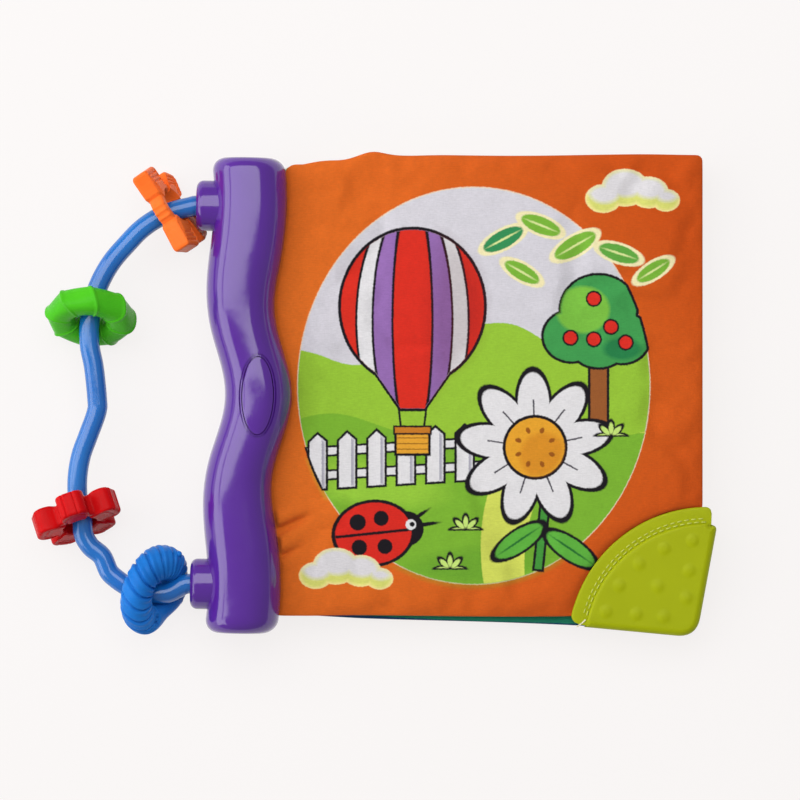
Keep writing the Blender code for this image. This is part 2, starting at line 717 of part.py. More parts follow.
def ring_bead(name, ring_count, section, parent, material):
    """A ring whose section radius follows a formula of the two angles round it."""
    rings = []
    for step in range(ring_count):
        around = 2 * math.pi * step / ring_count
        ring = []
        for side in range(RING_SIDES):
            over = 2 * math.pi * side / RING_SIDES
            size = section(step, around, over)
            reach = RING_RADIUS + size * math.cos(over)
            ring.append((reach * math.cos(around), reach * math.sin(around), size * math.sin(over)))
        rings.append(ring)
    return add_object(name, loft(name, rings, closed=True), parent, material)


def twisted_section(step, around, over):
    """Eight flutes that swirl once round the section."""
    return RING_SECTION * (1 - FLUTE_DEPTH_SHARE * (1 + math.cos(FLUTE_COUNT * around + over)) / 2)


def snail_section(step, around, over):
    """Ribbed shell with a smooth head."""
    from_head = abs((around - SNAIL_HEAD_ANGLE + math.pi) % (2 * math.pi) - math.pi)
    if from_head < SNAIL_HEAD_SPREAD or step % RIB_STEPS:
        return RING_SECTION
    return RING_SECTION * (1 - RIB_DEPTH_SHARE)


def snail_bead(name, parent, material):
    bead = ring_bead(name, RIB_COUNT * RIB_STEPS, snail_section, parent, material)
    eye_work = bmesh.new()
    bmesh.ops.create_uvsphere(eye_work, u_segments=10, v_segments=6, radius=SNAIL_EYE_RADIUS)
    eye = add_object(name + "_eye", mesh_of(name + "_eye", eye_work), bead)
    eye.location = (RING_RADIUS * math.cos(SNAIL_HEAD_ANGLE), RING_RADIUS * math.sin(SNAIL_HEAD_ANGLE), RING_SECTION)
    boolean(bead, eye, "DIFFERENCE")
    horn_work = bmesh.new()
    bmesh.ops.create_uvsphere(horn_work, u_segments=10, v_segments=6, radius=SNAIL_HORN_RADIUS)
    horn = add_object(name + "_horn", mesh_of(name + "_horn", horn_work), bead)
    rim = RING_RADIUS + RING_SECTION
    horn.location = (rim * math.cos(SNAIL_HORN_ANGLE), rim * math.sin(SNAIL_HORN_ANGLE), 0)
    boolean(bead, horn, "UNION")
    return bead


def add_beads(handle):
    seats = (
        ("orange_bead", UPPER_ARC_SHARES, ORANGE_PLACE, ORANGE_OFFSET, 0),
        ("green_bead", LEFT_ARC_SHARES, GREEN_PLACE, GREEN_OFFSET, RING_LIFT),
        ("red_bead", LOWER_LEFT_ARC_SHARES, RED_PLACE, RED_OFFSET, 0),
        ("blue_bead", BOTTOM_ARC_SHARES, BLUE_PLACE, BLUE_OFFSET, RING_LIFT),
    )
    materials = {
        "orange_bead": new_material("orange_plastic", (1.0, 0.19, 0.03), 0.3),
        "green_bead": new_material("green_plastic", (0.08, 0.52, 0.03), 0.3),
        "red_bead": new_material("red_plastic", (0.62, 0.01, 0.01), 0.3),
        "blue_bead": new_material("blue_plastic", (0.015, 0.19, 0.62), 0.3),
    }
    for name, arc, place, offset, lift in seats:
        pivot = new_empty(name + "_arc_centre", handle, arc_centre(arc))
        if name == "orange_bead":
            bead = butterfly_bead(name, pivot, materials[name])
        elif name == "green_bead":
            bead = ring_bead(name, FLUTE_COUNT * FLUTE_STEPS, twisted_section, pivot, materials[name])
        elif name == "red_bead":
            bead = lobed_bead(name, pivot, materials[name])
        else:
            bead = snail_bead(name, pivot, materials[name])
        bead.matrix_local = bead_matrix(arc, place, offset, lift)


# Leaves: made about their hinge line, with x across the leaf

def leaf_width(number):
    return FREE_EDGE - LEAF_TRIMS[number] - HINGE_PLACE - HINGE_STAGGER * number


def leaf_hinge(number):
    height = LEAF_HALF_THICKNESS + LEAF_PITCH * (len(LEAF_NAMES) - 1 - number)
    return Vector((HINGE_PLACE + HINGE_STAGGER * number, 0, height))


def leaf_limits(number, x):
    """Bottom and top edge of a leaf at a distance from its hinge line."""
    width = leaf_width(number)
    drop = LEAF_SAGS[number] * x / width
    dip = TOP_DIP * max(0, 1 - x / TOP_DIP_LENGTH) ** 2
    into = max(0, min(LEAF_CORNER_RADIUS, width - x))
    corner = LEAF_CORNER_RADIUS - math.sqrt(LEAF_CORNER_RADIUS ** 2 - (LEAF_CORNER_RADIUS - into) ** 2)
    return LEAF_BOTTOM - drop + corner, LEAF_TOP - drop - dip - corner


def edge_rise(distance):
    """How far a layer has risen from the seam, at a distance from it."""
    share = 1 - min(1, max(0, distance / EDGE_ROLL))
    return math.sqrt(1 - share * share)


def fullness(number, x, y):
    """Zero at the seams and one at the crown; flat where the teether is sewn on."""
    width = leaf_width(number)
    low, high = leaf_limits(number, x)
    rise = edge_rise(x) * edge_rise(width - x) * edge_rise(y - low) * edge_rise(high - y)
    if number == 0:
        left, top = flat_corner()
        rise *= edge_rise(max(left - x, y - top))
    across, along = x / width, (y - low) / (high - low)
    crown = math.sin(math.pi * across) * math.sin(math.pi * along)
    return rise * (1 - CROWN_SHARE + CROWN_SHARE * crown)


def flat_corner():
    """Left and top limits of the cloth that is left flat under the teether's flange."""
    centre = teether_centre()
    reach = TEETHER_FLANGE_RADIUS + GAP
    return centre.x - reach, centre.y + reach


def edge_rolls(inset):
    """Distances from a layer's edge at which its grid has a line."""
    if inset:
        return [0, EDGE_ROLL - inset]
    return [EDGE_ROLL * share for share in EDGE_STATION_SHARES]


def stations(low, high, inset, extra=()):
    """Places from one edge to the other, close together where the cloth turns in."""
    rolls = edge_rolls(inset)
    places = {round(low + roll, 7) for roll in rolls} | {round(high - roll, 7) for roll in rolls}
    places |= {round(place, 7) for place in extra}
    inner = sorted(places)
    result = []
    step = (high - low) / (FILLING_CELLS if inset else CLOTH_CELLS)
    for start, end in zip(inner, inner[1:]):
        pieces = max(1, round((end - start) / step))
        result += [start + (end - start) * piece / pieces for piece in range(pieces)]
    return result + [inner[-1]]


def layer_rows(number, inset, height):
    """Grid of mid-surface points of one layer; height gives z from the fullness."""
    width = leaf_width(number)
    extra_x, extra_y = (), ()
    middle_low, middle_high = leaf_limits(number, width / 2)
    if number == 0:
        left, top = flat_corner()
        extra_x = [left - inset - roll for roll in edge_rolls(inset)]
        extra_y = [top + inset + roll for roll in edge_rolls(inset)]
    columns = stations(inset, width - inset, inset, extra_x)
    shares = [(y - middle_low) / (middle_high - middle_low)
              for y in stations(middle_low + inset, middle_high - inset, inset, extra_y)]
    rows = []
    for share in shares:
        row = []
        for x in columns:
            low, high = leaf_limits(number, x)
            y = low + (high - low) * share
            row.append((x, y, height(fullness(number, x, y))))
        rows.append(row)
    return rows


def add_leaf(number, book, materials):
    name = LEAF_NAMES[number]
    hinge = new_empty(name + "_hinge", book, leaf_hinge(number))
    seam = SEAM_HALF_GAP + CLOTH_THICKNESS / 2
    crown = LEAF_HALF_THICKNESS - CLOTH_THICKNESS / 2
    layers = (
        ("outer_cloth", 0, CLOTH_THICKNESS, lambda full: seam + (crown - seam) * full),
        ("crinkle_film", FILLING_INSET, FILM_THICKNESS, lambda full: FILM_HEIGHT * full),
        ("wadding", FILLING_INSET, WADDING_THICKNESS, lambda full: WADDING_HEIGHT * full),
        ("inner_cloth", 0, CLOTH_THICKNESS, lambda full: -seam - (crown - seam) * full),
    )
    for layer, inset, thickness, height in layers:
        key = layer if layer in materials else f"{name}_{layer}"
        obj = sheet(f"{name}_{layer}", layer_rows(number, inset, height), thickness, hinge, materials[key])
        if number == 0:
            cut = teether_cloth_cutter(layer, hinge) if inset == 0 else filling_cutter(layer, hinge)
            boolean(obj, cut, "DIFFERENCE")
    if number == 0:
        corner_teether(hinge, materials["teether"])
    add_margin(number, book, materials[f"{name}_outer_cloth"])


def add_margin(number, book, material):
    """The sewn-down margin of a leaf, from inside the handle to its hinge line."""
    hinge = leaf_hinge(number)
    inner_z = AXIS_HEIGHT + STACK_MIDDLE + STACK_HEIGHT / 2 - MARGIN_THICKNESS / 2
    inner_z -= number * (MARGIN_THICKNESS + GAP)
    last = number == len(LEAF_NAMES) - 1
    end_x = hinge.x - (BACK_MARGIN_END if last else SEAM_HALF_THICKNESS + GAP)
    end_z = hinge.z + (BACK_MARGIN_RISE if last else 0)
    low, high = leaf_limits(number, 0)
    mouth = MARGIN_BEND + MARGIN_BEND_STEP * (len(LEAF_NAMES) - 1 - number)
    profile = ((MARGIN_INNER, inner_z, MARGIN_TOP), (mouth, inner_z, MARGIN_TOP), (end_x, end_z, high))
    rows = []
    for share in (0, 1):
        rows.append([(x, low + (top - low) * share, z) for x, z, top in profile])
    margin = sheet(f"{LEAF_NAMES[number]}_margin", rows, MARGIN_THICKNESS, book, material)
    boolean(margin, pin_holes(f"{LEAF_NAMES[number]}_margin"), "DIFFERENCE")


def pin_holes(name):
    holes = [(CLAMP_PLACE, y, PIN_RADIUS + GAP, -AXIS_HEIGHT, OVERRUN) for y in PIN_PLACES]
    return add_object(name + "_pin_holes", cylinders_mesh(name + "_pin_holes", holes, 12), HANDLE)


def spine_binding(book, material):
    """Tape folded round the inner ends of the four margins."""
    middle = AXIS_HEIGHT + STACK_MIDDLE
    profile = [(BINDING_REACH, middle + BINDING_RADIUS)]
    for step in range(BINDING_TURN_STEPS + 1):
        angle = math.pi / 2 + math.pi * step / BINDING_TURN_STEPS
        profile.append((BINDING_TURN + BINDING_RADIUS * math.cos(angle), middle + BINDING_RADIUS * math.sin(angle)))
    profile.append((BINDING_REACH, middle - BINDING_RADIUS))
    rows = [[(x, side * BINDING_HALF_LENGTH, z) for x, z in profile] for side in (-1, 1)]
    tape = sheet("spine_binding", rows, BINDING_THICKNESS, book, material)
    boolean(tape, pin_holes("spine_binding"), "DIFFERENCE")


# Corner teether, in the front cover's own frame

def teether_centre():
    low, high = leaf_limits(0, leaf_width(0) / 2)
    return Vector((leaf_width(0) + TEETHER_CENTRE[0], low + TEETHER_CENTRE[1], 0))


def arc_outline(radius, first, last, steps):
    centre = teether_centre()
    return [(centre.x + radius * math.cos(first + (last - first) * step / steps),
             centre.y + radius * math.sin(first + (last - first) * step / steps)) for step in range(steps + 1)]


def slab(name, outline, low, high, parent, material=None):
    rings = [[(x, y, z) for x, y in outline] for z in (low, high)]
    return add_object(name, loft(name, rings), parent, material)


def teether_outline():
    """The thick part: the stitch arc, then the tapering right side and the lower edge."""
    centre = teether_centre()
    corner_x, corner_y = leaf_width(0), centre.y - TEETHER_CENTRE[1]
    top_right = Vector((corner_x + TEETHER_SIDE_OVERHANG, centre.y + TEETHER_STITCH_RADIUS - GAP))
    top_bend = top_right - Vector((-GAP, 2 * TEETHER_EDGE))
    bottom_left = Vector((centre.x - TEETHER_STITCH_RADIUS + GAP, corner_y - TEETHER_BOTTOM_OVERHANG))
    bottom_right = Vector((corner_x + TEETHER_SIDE_OVERHANG - TEETHER_SIDE_DRAW,
                           corner_y - TEETHER_BOTTOM_OVERHANG - TEETHER_BOTTOM_DRAW))
    first = math.pi / 2
    last = math.pi - math.asin((bottom_left.y - centre.y) / TEETHER_STITCH_RADIUS)
    outline = [tuple(bottom_right + Vector((0, TEETHER_CORNER_RADIUS))), tuple(top_bend), tuple(top_right)]
    outline += arc_outline(TEETHER_STITCH_RADIUS, first, last, TEETHER_ARC_STEPS)
    outline.append(tuple(bottom_left))
    side = (top_right - bottom_right).normalized()
    bottom = (bottom_left - bottom_right).normalized()
    outline[0] = tuple(bottom_right + side * TEETHER_CORNER_RADIUS)
    outline.append(tuple(bottom_right + bottom * TEETHER_CORNER_RADIUS))
    for step in range(1, 6):
        share = step / 6
        start, end = Vector(outline[-1]) if step == 1 else start, Vector(outline[0])
        outline.append(tuple(start * (1 - share) ** 2 + bottom_right * 2 * share * (1 - share) + end * share ** 2))
    return outline


def corner_teether(hinge, material):
    body = slab("corner_teether", teether_outline(), -TEETHER_UNDERSIDE, TEETHER_TOP, hinge, material)
    bevel = body.modifiers.new("Soft edges", "BEVEL")
    bevel.width = TEETHER_EDGE
    bevel.segments = 2
    bevel.angle_limit = math.radians(60)
    flange_outline = arc_outline(TEETHER_FLANGE_RADIUS, TEETHER_FLANGE_START, TEETHER_FLANGE_END, TEETHER_ARC_STEPS)
    flange_outline += arc_outline(TEETHER_POCKET_RADIUS, TEETHER_FLANGE_END, TEETHER_FLANGE_START, TEETHER_ARC_STEPS)
    lip_face = SEAM_HALF_THICKNESS + GAP + TEETHER_LIP
    flange = slab("teether_flange", flange_outline, -lip_face, lip_face, hinge)
    boolean(body, flange, "UNION")
    boolean(body, teether_pocket(hinge), "DIFFERENCE")
    boolean(body, teether_nubs(hinge), "UNION")
    return body


def teether_pocket(hinge):
    """Room for the cloth between the two lips: the cover's corner, less the thick part."""
    half = SEAM_HALF_THICKNESS + GAP
    left, top = flat_corner()
    low, high = leaf_limits(0, leaf_width(0) / 2)
    pocket = box_mesh("teether_pocket", (left, low - GAP, -half), (leaf_width(0) + GAP, top, half))
    pocket = add_object("teether_pocket", pocket, hinge)
    boolean(pocket, teether_core("teether_pocket_core", TEETHER_POCKET_RADIUS, hinge), "DIFFERENCE")
    return pocket


def teether_core(name, radius, hinge):
    centre = teether_centre()
    core = cylinders_mesh(name, [(centre.x, centre.y, radius, -OVERRUN, OVERRUN)], 64)
    return add_object(name, core, hinge)


def teether_cloth_cutter(layer, hinge):
    return teether_core(f"teether_corner_of_{layer}", TEETHER_POCKET_RADIUS + GAP, hinge)


def filling_cutter(layer, hinge):
    left, top = flat_corner()
    low = (left - FILLING_INSET, LEAF_BOTTOM - OVERRUN, -OVERRUN)
    high = (leaf_width(0) + OVERRUN, top + FILLING_INSET, OVERRUN)
    name = f"flat_corner_of_{layer}"
    return add_object(name, box_mesh(name, low, high), hinge)


def teether_nubs(hinge):
    """Low round nubs in three arcs about the teether's own corner."""
    centre = teether_centre()
    sphere_radius = (NUB_RADIUS ** 2 + NUB_HEIGHT ** 2) / (2 * NUB_HEIGHT)
    half_angle = math.asin(NUB_RADIUS / sphere_radius)
    root = NUB_HEIGHT / 2
    work = bmesh.new()
    for radius, count, spread in NUB_RINGS:
        for number in range(count):
            angle = NUB_DIRECTION + spread * (number / (count - 1) - 1 / 2)
            x, y = centre.x + radius * math.cos(angle), centre.y + radius * math.sin(angle)
            rings = []
            for ring in range(3):
                slope = half_angle * (1 - ring / 3)
                reach, rise = sphere_radius * math.sin(slope), sphere_radius * (math.cos(slope) - math.cos(half_angle))
                rings.append([work.verts.new((x + reach * math.cos(2 * math.pi * i / 14),
                                              y + reach * math.sin(2 * math.pi * i / 14), TEETHER_TOP + rise))
                              for i in range(14)])
            base = [work.verts.new((vert.co.x, vert.co.y, TEETHER_TOP - root)) for vert in rings[0]]
            for lower, upper in zip([base] + rings, rings):
                for i in range(14):
                    after = (i + 1) % 14
                    work.faces.new((lower[i], lower[after], upper[after], upper[i]))
            work.faces.new(base)
            work.faces.new(rings[-1])
    return add_object("teether_nubs", mesh_of("teether_nubs", work), hinge)


def stand_on_origin(book):
    """Move the book so that the origin is at the bottom centre of its bounding box."""
    bpy.context.view_layer.update()
    graph = bpy.context.evaluated_depsgraph_get()
    corners = []
    for obj in PARTS.objects:
        if obj.type != "EMPTY":
            shape = obj.evaluated_get(graph)
            corners += [obj.matrix_world @ vert.co for vert in shape.to_mesh().vertices]
            shape.to_mesh_clear()
    low = [min(corner[axis] for corner in corners) for axis in range(3)]
    high = [max(corner[axis] for corner in corners) for axis in range(3)]
    book.location = (-(low[0] + high[0]) / 2, -(low[1] + high[1]) / 2, -low[2])
    bpy.context.view_layer.update()


clear_scene()
PARTS = new_collection("crinkle_cloth_book")
CUTTERS = new_collection("cutters")
BOOK = new_empty("book_origin", None, (0, 0, 0))
HANDLE = new_empty("handle_centre", BOOK, (0, 0, AXIS_HEIGHT), -HANDLE_LEAN)
MID_WALL = add_object("handle_mid_wall", handle_loft("handle_mid_wall", HANDLE_WALL / 2, HANDLE_WALL / 2), HANDLE)

PURPLE = new_material("purple_plastic", (0.10, 0.025, 0.26), 0.25)
handle_shell("handle_front_shell", True, HANDLE, PURPLE)
handle_shell("handle_back_shell", False, HANDLE, PURPLE.copy())
STEEL = new_material("screw_steel", (0.6, 0.6, 0.62), 0.3)
STEEL.node_tree.nodes["Principled BSDF"].inputs["Metallic"].default_value = 1
for index, screw_place in enumerate(screw_places()):
    handle_screw(index + 1, screw_place, HANDLE, STEEL)
BLUE = new_material("tube_plastic", (0.02, 0.17, 0.52), 0.25)
tube_loop(HANDLE, BLUE)
COLLAR = new_material("collar_plastic", (0.02, 0.17, 0.52), 0.35)
tube_collar("upper_tube_collar", 1, HANDLE, COLLAR)
tube_collar("lower_tube_collar", -1, HANDLE, COLLAR)
add_beads(HANDLE)

LEAF_MATERIALS = {
    "front_cover_outer_cloth": new_material("front_cover_print", (0.72, 0.11, 0.02), 0.85),
    "front_cover_inner_cloth": new_material("front_cover_lining", (0.30, 0.52, 0.16), 0.85),
    "leaf_2_outer_cloth": new_material("leaf_2_print", (0.01, 0.14, 0.09), 0.85),
    "leaf_2_inner_cloth": new_material("leaf_2_back", (0.62, 0.50, 0.10), 0.85),
    "leaf_3_outer_cloth": new_material("leaf_3_print", (0.05, 0.32, 0.55), 0.85),
    "leaf_3_inner_cloth": new_material("leaf_3_back", (0.45, 0.10, 0.28), 0.85),
    "back_cover_outer_cloth": new_material("back_cover_lining", (0.30, 0.52, 0.16), 0.85),
    "back_cover_inner_cloth": new_material("back_cover_print", (0.72, 0.11, 0.02), 0.85),
    "crinkle_film": new_material("crinkle_film", (0.80, 0.80, 0.82), 0.2),
    "wadding": new_material("wadding", (0.85, 0.85, 0.83), 0.95),
    "teether": new_material("teether_silicone", (0.37, 0.50, 0.01), 0.45),
}
for leaf_number in range(len(LEAF_NAMES)):
    add_leaf(leaf_number, BOOK, LEAF_MATERIALS)
spine_binding(BOOK, new_material("binding_tape", (0.75, 0.75, 0.72), 0.9))
stand_on_origin(BOOK)
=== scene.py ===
"""Crinkle cloth book dressed for its photograph: a wavy handle with a bead rail, four
padded leaves of printed cloth and a silicone corner, seen straight from above."""

import math
from math import cos, pi, radians, sin, sqrt

import bmesh
import bpy
import numpy as np
from mathutils import Matrix, Vector, noise


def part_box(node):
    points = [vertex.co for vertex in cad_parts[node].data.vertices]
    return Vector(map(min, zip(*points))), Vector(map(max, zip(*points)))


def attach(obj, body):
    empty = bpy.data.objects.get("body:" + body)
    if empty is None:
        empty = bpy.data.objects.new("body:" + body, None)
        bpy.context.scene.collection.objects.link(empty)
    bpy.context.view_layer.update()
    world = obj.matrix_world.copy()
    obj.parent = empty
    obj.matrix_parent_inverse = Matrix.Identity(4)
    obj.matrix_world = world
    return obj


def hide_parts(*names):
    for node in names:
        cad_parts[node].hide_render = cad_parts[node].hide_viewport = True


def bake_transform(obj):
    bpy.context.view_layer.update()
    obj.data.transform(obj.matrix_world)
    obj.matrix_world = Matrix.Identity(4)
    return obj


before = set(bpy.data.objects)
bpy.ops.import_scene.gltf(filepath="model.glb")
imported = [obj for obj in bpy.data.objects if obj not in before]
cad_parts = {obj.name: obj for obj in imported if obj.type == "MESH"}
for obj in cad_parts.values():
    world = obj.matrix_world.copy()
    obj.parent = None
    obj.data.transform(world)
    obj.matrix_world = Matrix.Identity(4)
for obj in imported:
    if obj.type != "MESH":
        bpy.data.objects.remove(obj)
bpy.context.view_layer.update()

# Handle
HANDLE_LENGTH = 0.1519
HANDLE_WIDTHS = (0.0214, 0.0233)
HANDLE_HEIGHT = 0.0266
AXIS_HEIGHT = 0.0129
HANDLE_LEAN = radians(0.93)
WAVE_LENGTH = 0.0627
WAVE_DEPTH = 0.0062
WAVE_FADE = 0.57
END_ROUNDING = 0.0045
SQUARENESS = 2.3
HANDLE_SIDES = 64
HANDLE_STATIONS = 96
PARTING_GAP = 0.0002

# Bead rail
TUBE_RADIUS = 0.0032
BOSS_OFFSET = HANDLE_LENGTH / 2 - 0.01545
BOSS_REACH = 0.0056
BEAD_BORE = 0.0054
UPPER_ARC = (-0.2855, 0.4699, 0.5306, 100, 142)
LEFT_ARC = (-0.2466, 0.3266, 0.6545, 145, 197)
LOWER_LEFT_ARC = (-0.3112, -0.4828, 0.6397, 156, 197)
BOTTOM_ARC = (-0.5240, -0.7162, 0.3388, 222, 282)
MIDDLE_WAVE = ((-0.8530, -0.0280), (-0.8540, -0.0990))
BOTTOM_WAVE = ((-0.9120, -0.7520), (-0.8740, -0.8130), (-0.8140, -0.8630))
BOSS_APPROACH = ((-0.3830, -1.0080),)

# Leaves, from the top of the stack down
LEAVES = ("front_cover", "leaf_2", "leaf_3", "back_cover")
HINGE_X = 0.0143
HINGE_STEP = 0.0016
LEAF_PITCH = 0.0037
FREE_EDGE = 0.1420
TRIMS = (0.0, 0.0008, 0.0014, 0.0004)
SAGS = (0.0, 0.0049, 0.0030, 0.0012)
PAGE_TOP = 0.0769
PAGE_BOTTOM = -0.0703
HALF_THICKNESS = 0.0015
SEAM_HALF = 0.00036
CLOTH = 0.00035
ROLL = 0.0062
CORNER = 0.0018
LOW_CORNERS = (0.0018, 0.0080, 0.0070, 0.0060)
PAGE_UNIT = 0.1
CLOTH_STEP = 0.00135
FINE_STEP = 0.0006
LAYER_STEP = 0.0022
LAYER_ROWS = 62

# Inner ends of the leaves, stacked under the handle's parting plane
STACK_GAP = 0.00015
STACK_HEIGHT = 0.0045
STACK_STEP = 0.0012
TAPE = 0.0005

# Corner teether
FLANGE_RADIUS = 0.0446
STITCH_RADIUS = 0.0393
POCKET_RADIUS = 0.0372
TEETHER_BELOW = 0.0099
LIP_LOW = 0.00085
LIP_HIGH = 0.00175

# Cloth, floor and camera
THREAD_PITCH = 0.0044
FLOOR_HALF = 3
FLOOR_HEIGHT = -0.0002
FLOOR_GLOW = 0.88
SENSOR = 36
PHOTO_WIDTH = 0.256
PHOTO_DISTANCE = 2.0


# Node helpers

def feed(tree, socket, value):
    if isinstance(value, bpy.types.NodeSocket):
        tree.links.new(value, socket)
    else:
        socket.default_value = value


def new_material(name):
    material = bpy.data.materials.new(name)
    material.use_nodes = True
    return material, material.node_tree, material.node_tree.nodes["Principled BSDF"]


def object_material(name):
    """A new material and the object's own coordinates."""
    material, tree, shader = new_material(name)
    return material, tree, shader, tree.nodes.new("ShaderNodeTexCoord").outputs["Object"]


def preset(shader, **values):
    """Numbers and colours that are the same all over, set on the shader's own sockets."""
    for name, value in values.items():
        shader.inputs[name.replace("_", " ")].default_value = value


def maths(tree, operation, *values):
    node = tree.nodes.new("ShaderNodeMath")
    node.operation = operation
    for socket, value in zip(node.inputs, values):
        feed(tree, socket, value)
    return node.outputs[0]


def vectors(tree, operation, *values):
    node = tree.nodes.new("ShaderNodeVectorMath")
    node.operation = operation
    for socket, value in zip(node.inputs, values):
        feed(tree, socket, value)
    return node.outputs["Value" if operation in ("LENGTH", "DOT_PRODUCT") else "Vector"]


def mixed(tree, share, first, second, blend="MIX"):
    node = tree.nodes.new("ShaderNodeMix")
    node.data_type = "RGBA"
    node.blend_type = blend
    feed(tree, node.inputs[0], share)
    for socket, value in zip(node.inputs[6:8], (first, second)):
        feed(tree, socket, value if isinstance(value, bpy.types.NodeSocket) else (*value, 1))
    return node.outputs[2]


def clouds(tree, place, scale, detail=3, roughness=0.5, stretch=None):
    """Soft noise from 0 to 1, finer with a larger scale."""
    if stretch:
        place = vectors(tree, "MULTIPLY", place, stretch)
    node = tree.nodes.new("ShaderNodeTexNoise")
    feed(tree, node.inputs["Vector"], place)
    node.inputs["Scale"].default_value = scale
    node.inputs["Detail"].default_value = detail
    node.inputs["Roughness"].default_value = roughness
    return node.outputs[0]


def ranged(tree, value, low, high, new_low, new_high):
    node = tree.nodes.new("ShaderNodeMapRange")
    for socket, number in zip(node.inputs, (value, low, high, new_low, new_high)):
        feed(tree, socket, number)
    return node.outputs[0]


def surfaced(tree, shader, drift, light, deep, grain, low, high):
    """A colour that drifts between two tints, and a roughness that follows a grain."""
    feed(tree, shader.inputs["Base Color"], mixed(tree, drift, light, deep))
    feed(tree, shader.inputs["Roughness"], ranged(tree, grain, 0.3, 0.7, low, high))


def bumped(tree, shader, height, distance, strength=1.0):
    node = tree.nodes.new("ShaderNodeBump")
    node.inputs["Strength"].default_value = strength
    node.inputs["Distance"].default_value = distance
    feed(tree, node.inputs["Height"], height)
    tree.links.new(node.outputs[0], shader.inputs["Normal"])


def tint(red, green, blue):
    """A colour read off a screen, as linear light."""
    result = []
    for value in (red, green, blue):
        share = value / 255
        result.append(share / 12.92 if share <= 0.04045 else ((share + 0.055) / 1.055) ** 2.4)
    return tuple(result)


# Mesh helpers

def smoothstep(share):
    share = min(1, max(0, share))
    return share * share * (3 - 2 * share)


def power(value, exponent):
    return math.copysign(abs(value) ** exponent, value)


def add_piece(name, mesh, material=None, sharp=0):
    obj = bpy.data.objects.new(name, mesh)
    bpy.context.scene.collection.objects.link(obj)
    mesh.shade_smooth()
    if sharp:
        mesh.set_sharp_from_angle(angle=radians(sharp))
    if material:
        coated(obj, material)
    return obj


def coated(obj, material):
    """Give an object one material in place of those that it has."""
    obj.data.materials.clear()
    obj.data.materials.append(material)


def mesh_of(name, work):
    bmesh.ops.recalc_face_normals(work, faces=work.faces)
    mesh = bpy.data.meshes.new(name)
    work.to_mesh(mesh)
    work.free()
    return mesh


def skin(work, rings, closed=False, capped=True):
    """Skin a list of point rings; the ends get flat caps unless the skin is closed."""
    loops = [[work.verts.new(point) for point in ring] for ring in rings]
    pairs = list(zip(loops, loops[1:])) + ([(loops[-1], loops[0])] if closed else [])
    for first, second in pairs:
        for side in range(len(first)):
            after = (side + 1) % len(first)
            work.faces.new((first[side], first[after], second[after], second[side]))
    if capped and not closed:
        work.faces.new(loops[0])
        work.faces.new(loops[-1])


def skinned(name, rings, closed=False):
    work = bmesh.new()
    skin(work, rings, closed)
    return mesh_of(name, work)


def lathe(work, profile, steps, matrix):
    """Turn (radius, height) points; the first and last radius are zero."""
    ends = [work.verts.new(matrix @ Vector((0, 0, height))) for _, height in (profile[0], profile[-1])]
    rings = []
    for radius, height in profile[1:-1]:
        rings.append([work.verts.new(matrix @ Vector((*polar(radius, spin(i, steps)), height)))
                      for i in range(steps)])
    for i in range(steps):
        after = (i + 1) % steps
        work.faces.new((ends[0], rings[0][i], rings[0][after]))
        work.faces.new((ends[1], rings[-1][after], rings[-1][i]))
        for first, second in zip(rings, rings[1:]):
            work.faces.new((first[i], second[i], second[after], first[after]))


def box_piece(name, low, high):
    work = bmesh.new()
    low, high = Vector(low), Vector(high)
    made = bmesh.ops.create_cube(work, size=1)["verts"]
    bmesh.ops.scale(work, vec=high - low, verts=made)
    bmesh.ops.translate(work, vec=(low + high) / 2, verts=made)
    return add_piece(name, mesh_of(name, work))


def cylinders_piece(name, cylinders, steps=32):
    """Round cutters: (matrix, radius, low, high)."""
    work = bmesh.new()
    for matrix, radius, low, high in cylinders:
        lathe(work, [(0, low), (radius, low), (radius, high), (0, high)], steps, matrix)
    return add_piece(name, mesh_of(name, work))


def polar(radius, angle):
    return radius * cos(angle), radius * sin(angle)


def spin(index, count):
    """The angle of one of some equal steps round a circle."""
    return 2 * pi * index / count


def level_way(point, centre):
    """The way from a centre to a point, with both seen from above."""
    return Vector((point.x, point.y, 0)) - centre


def grid_faces(work, rows, flipped=False):
    """Four-sided faces between rows of points."""
    faces = []
    for lower, upper in zip(rows, rows[1:]):
        for i in range(len(lower) - 1):
            corners = (lower[i], lower[i + 1], upper[i + 1], upper[i])
            faces.append(work.faces.new(corners[::-1] if flipped else corners))
    return faces


def settle(obj):
    """Keep the shape that an object's modifiers give it."""
    graph = bpy.context.evaluated_depsgraph_get()
    mesh = bpy.data.meshes.new_from_object(obj.evaluated_get(graph))
    obj.modifiers.clear()
    obj.data = mesh
    mesh.shade_smooth()


def thicken(obj, thickness):
    """Give a sheet its thickness, half of it on each side."""
    modifier = obj.modifiers.new("Thickness", "SOLIDIFY")
    modifier.thickness = thickness
    modifier.offset = 0
    settle(obj)


def carve(obj, steps):
    """Carry out (operation, other piece) in order, and take the other pieces away."""
    for operation, other in steps:
        modifier = obj.modifiers.new(operation, "BOOLEAN")
        modifier.operation = operation
        modifier.solver = "EXACT"
        modifier.object = other
    settle(obj)
    for _, other in steps:
        bpy.data.objects.remove(other, do_unlink=True)
    obj.data.set_sharp_from_angle(angle=radians(28))


# Places

BINDING_LOW, BINDING_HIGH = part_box("spine_binding")
BOOK = Vector((BINDING_HIGH[0] - 0.0004, (BINDING_LOW[1] + BINDING_HIGH[1]) / 2, 0))
HANDLE = Matrix.Translation(BOOK + Vector((0, 0, AXIS_HEIGHT))) @ Matrix.Rotation(-HANDLE_LEAN, 4, "Z")


def hinge(number):
    height = HALF_THICKNESS + LEAF_PITCH * (len(LEAVES) - 1 - number)
    return BOOK + Vector((HINGE_X + HINGE_STEP * number, 0, height))


# Moulded plastic

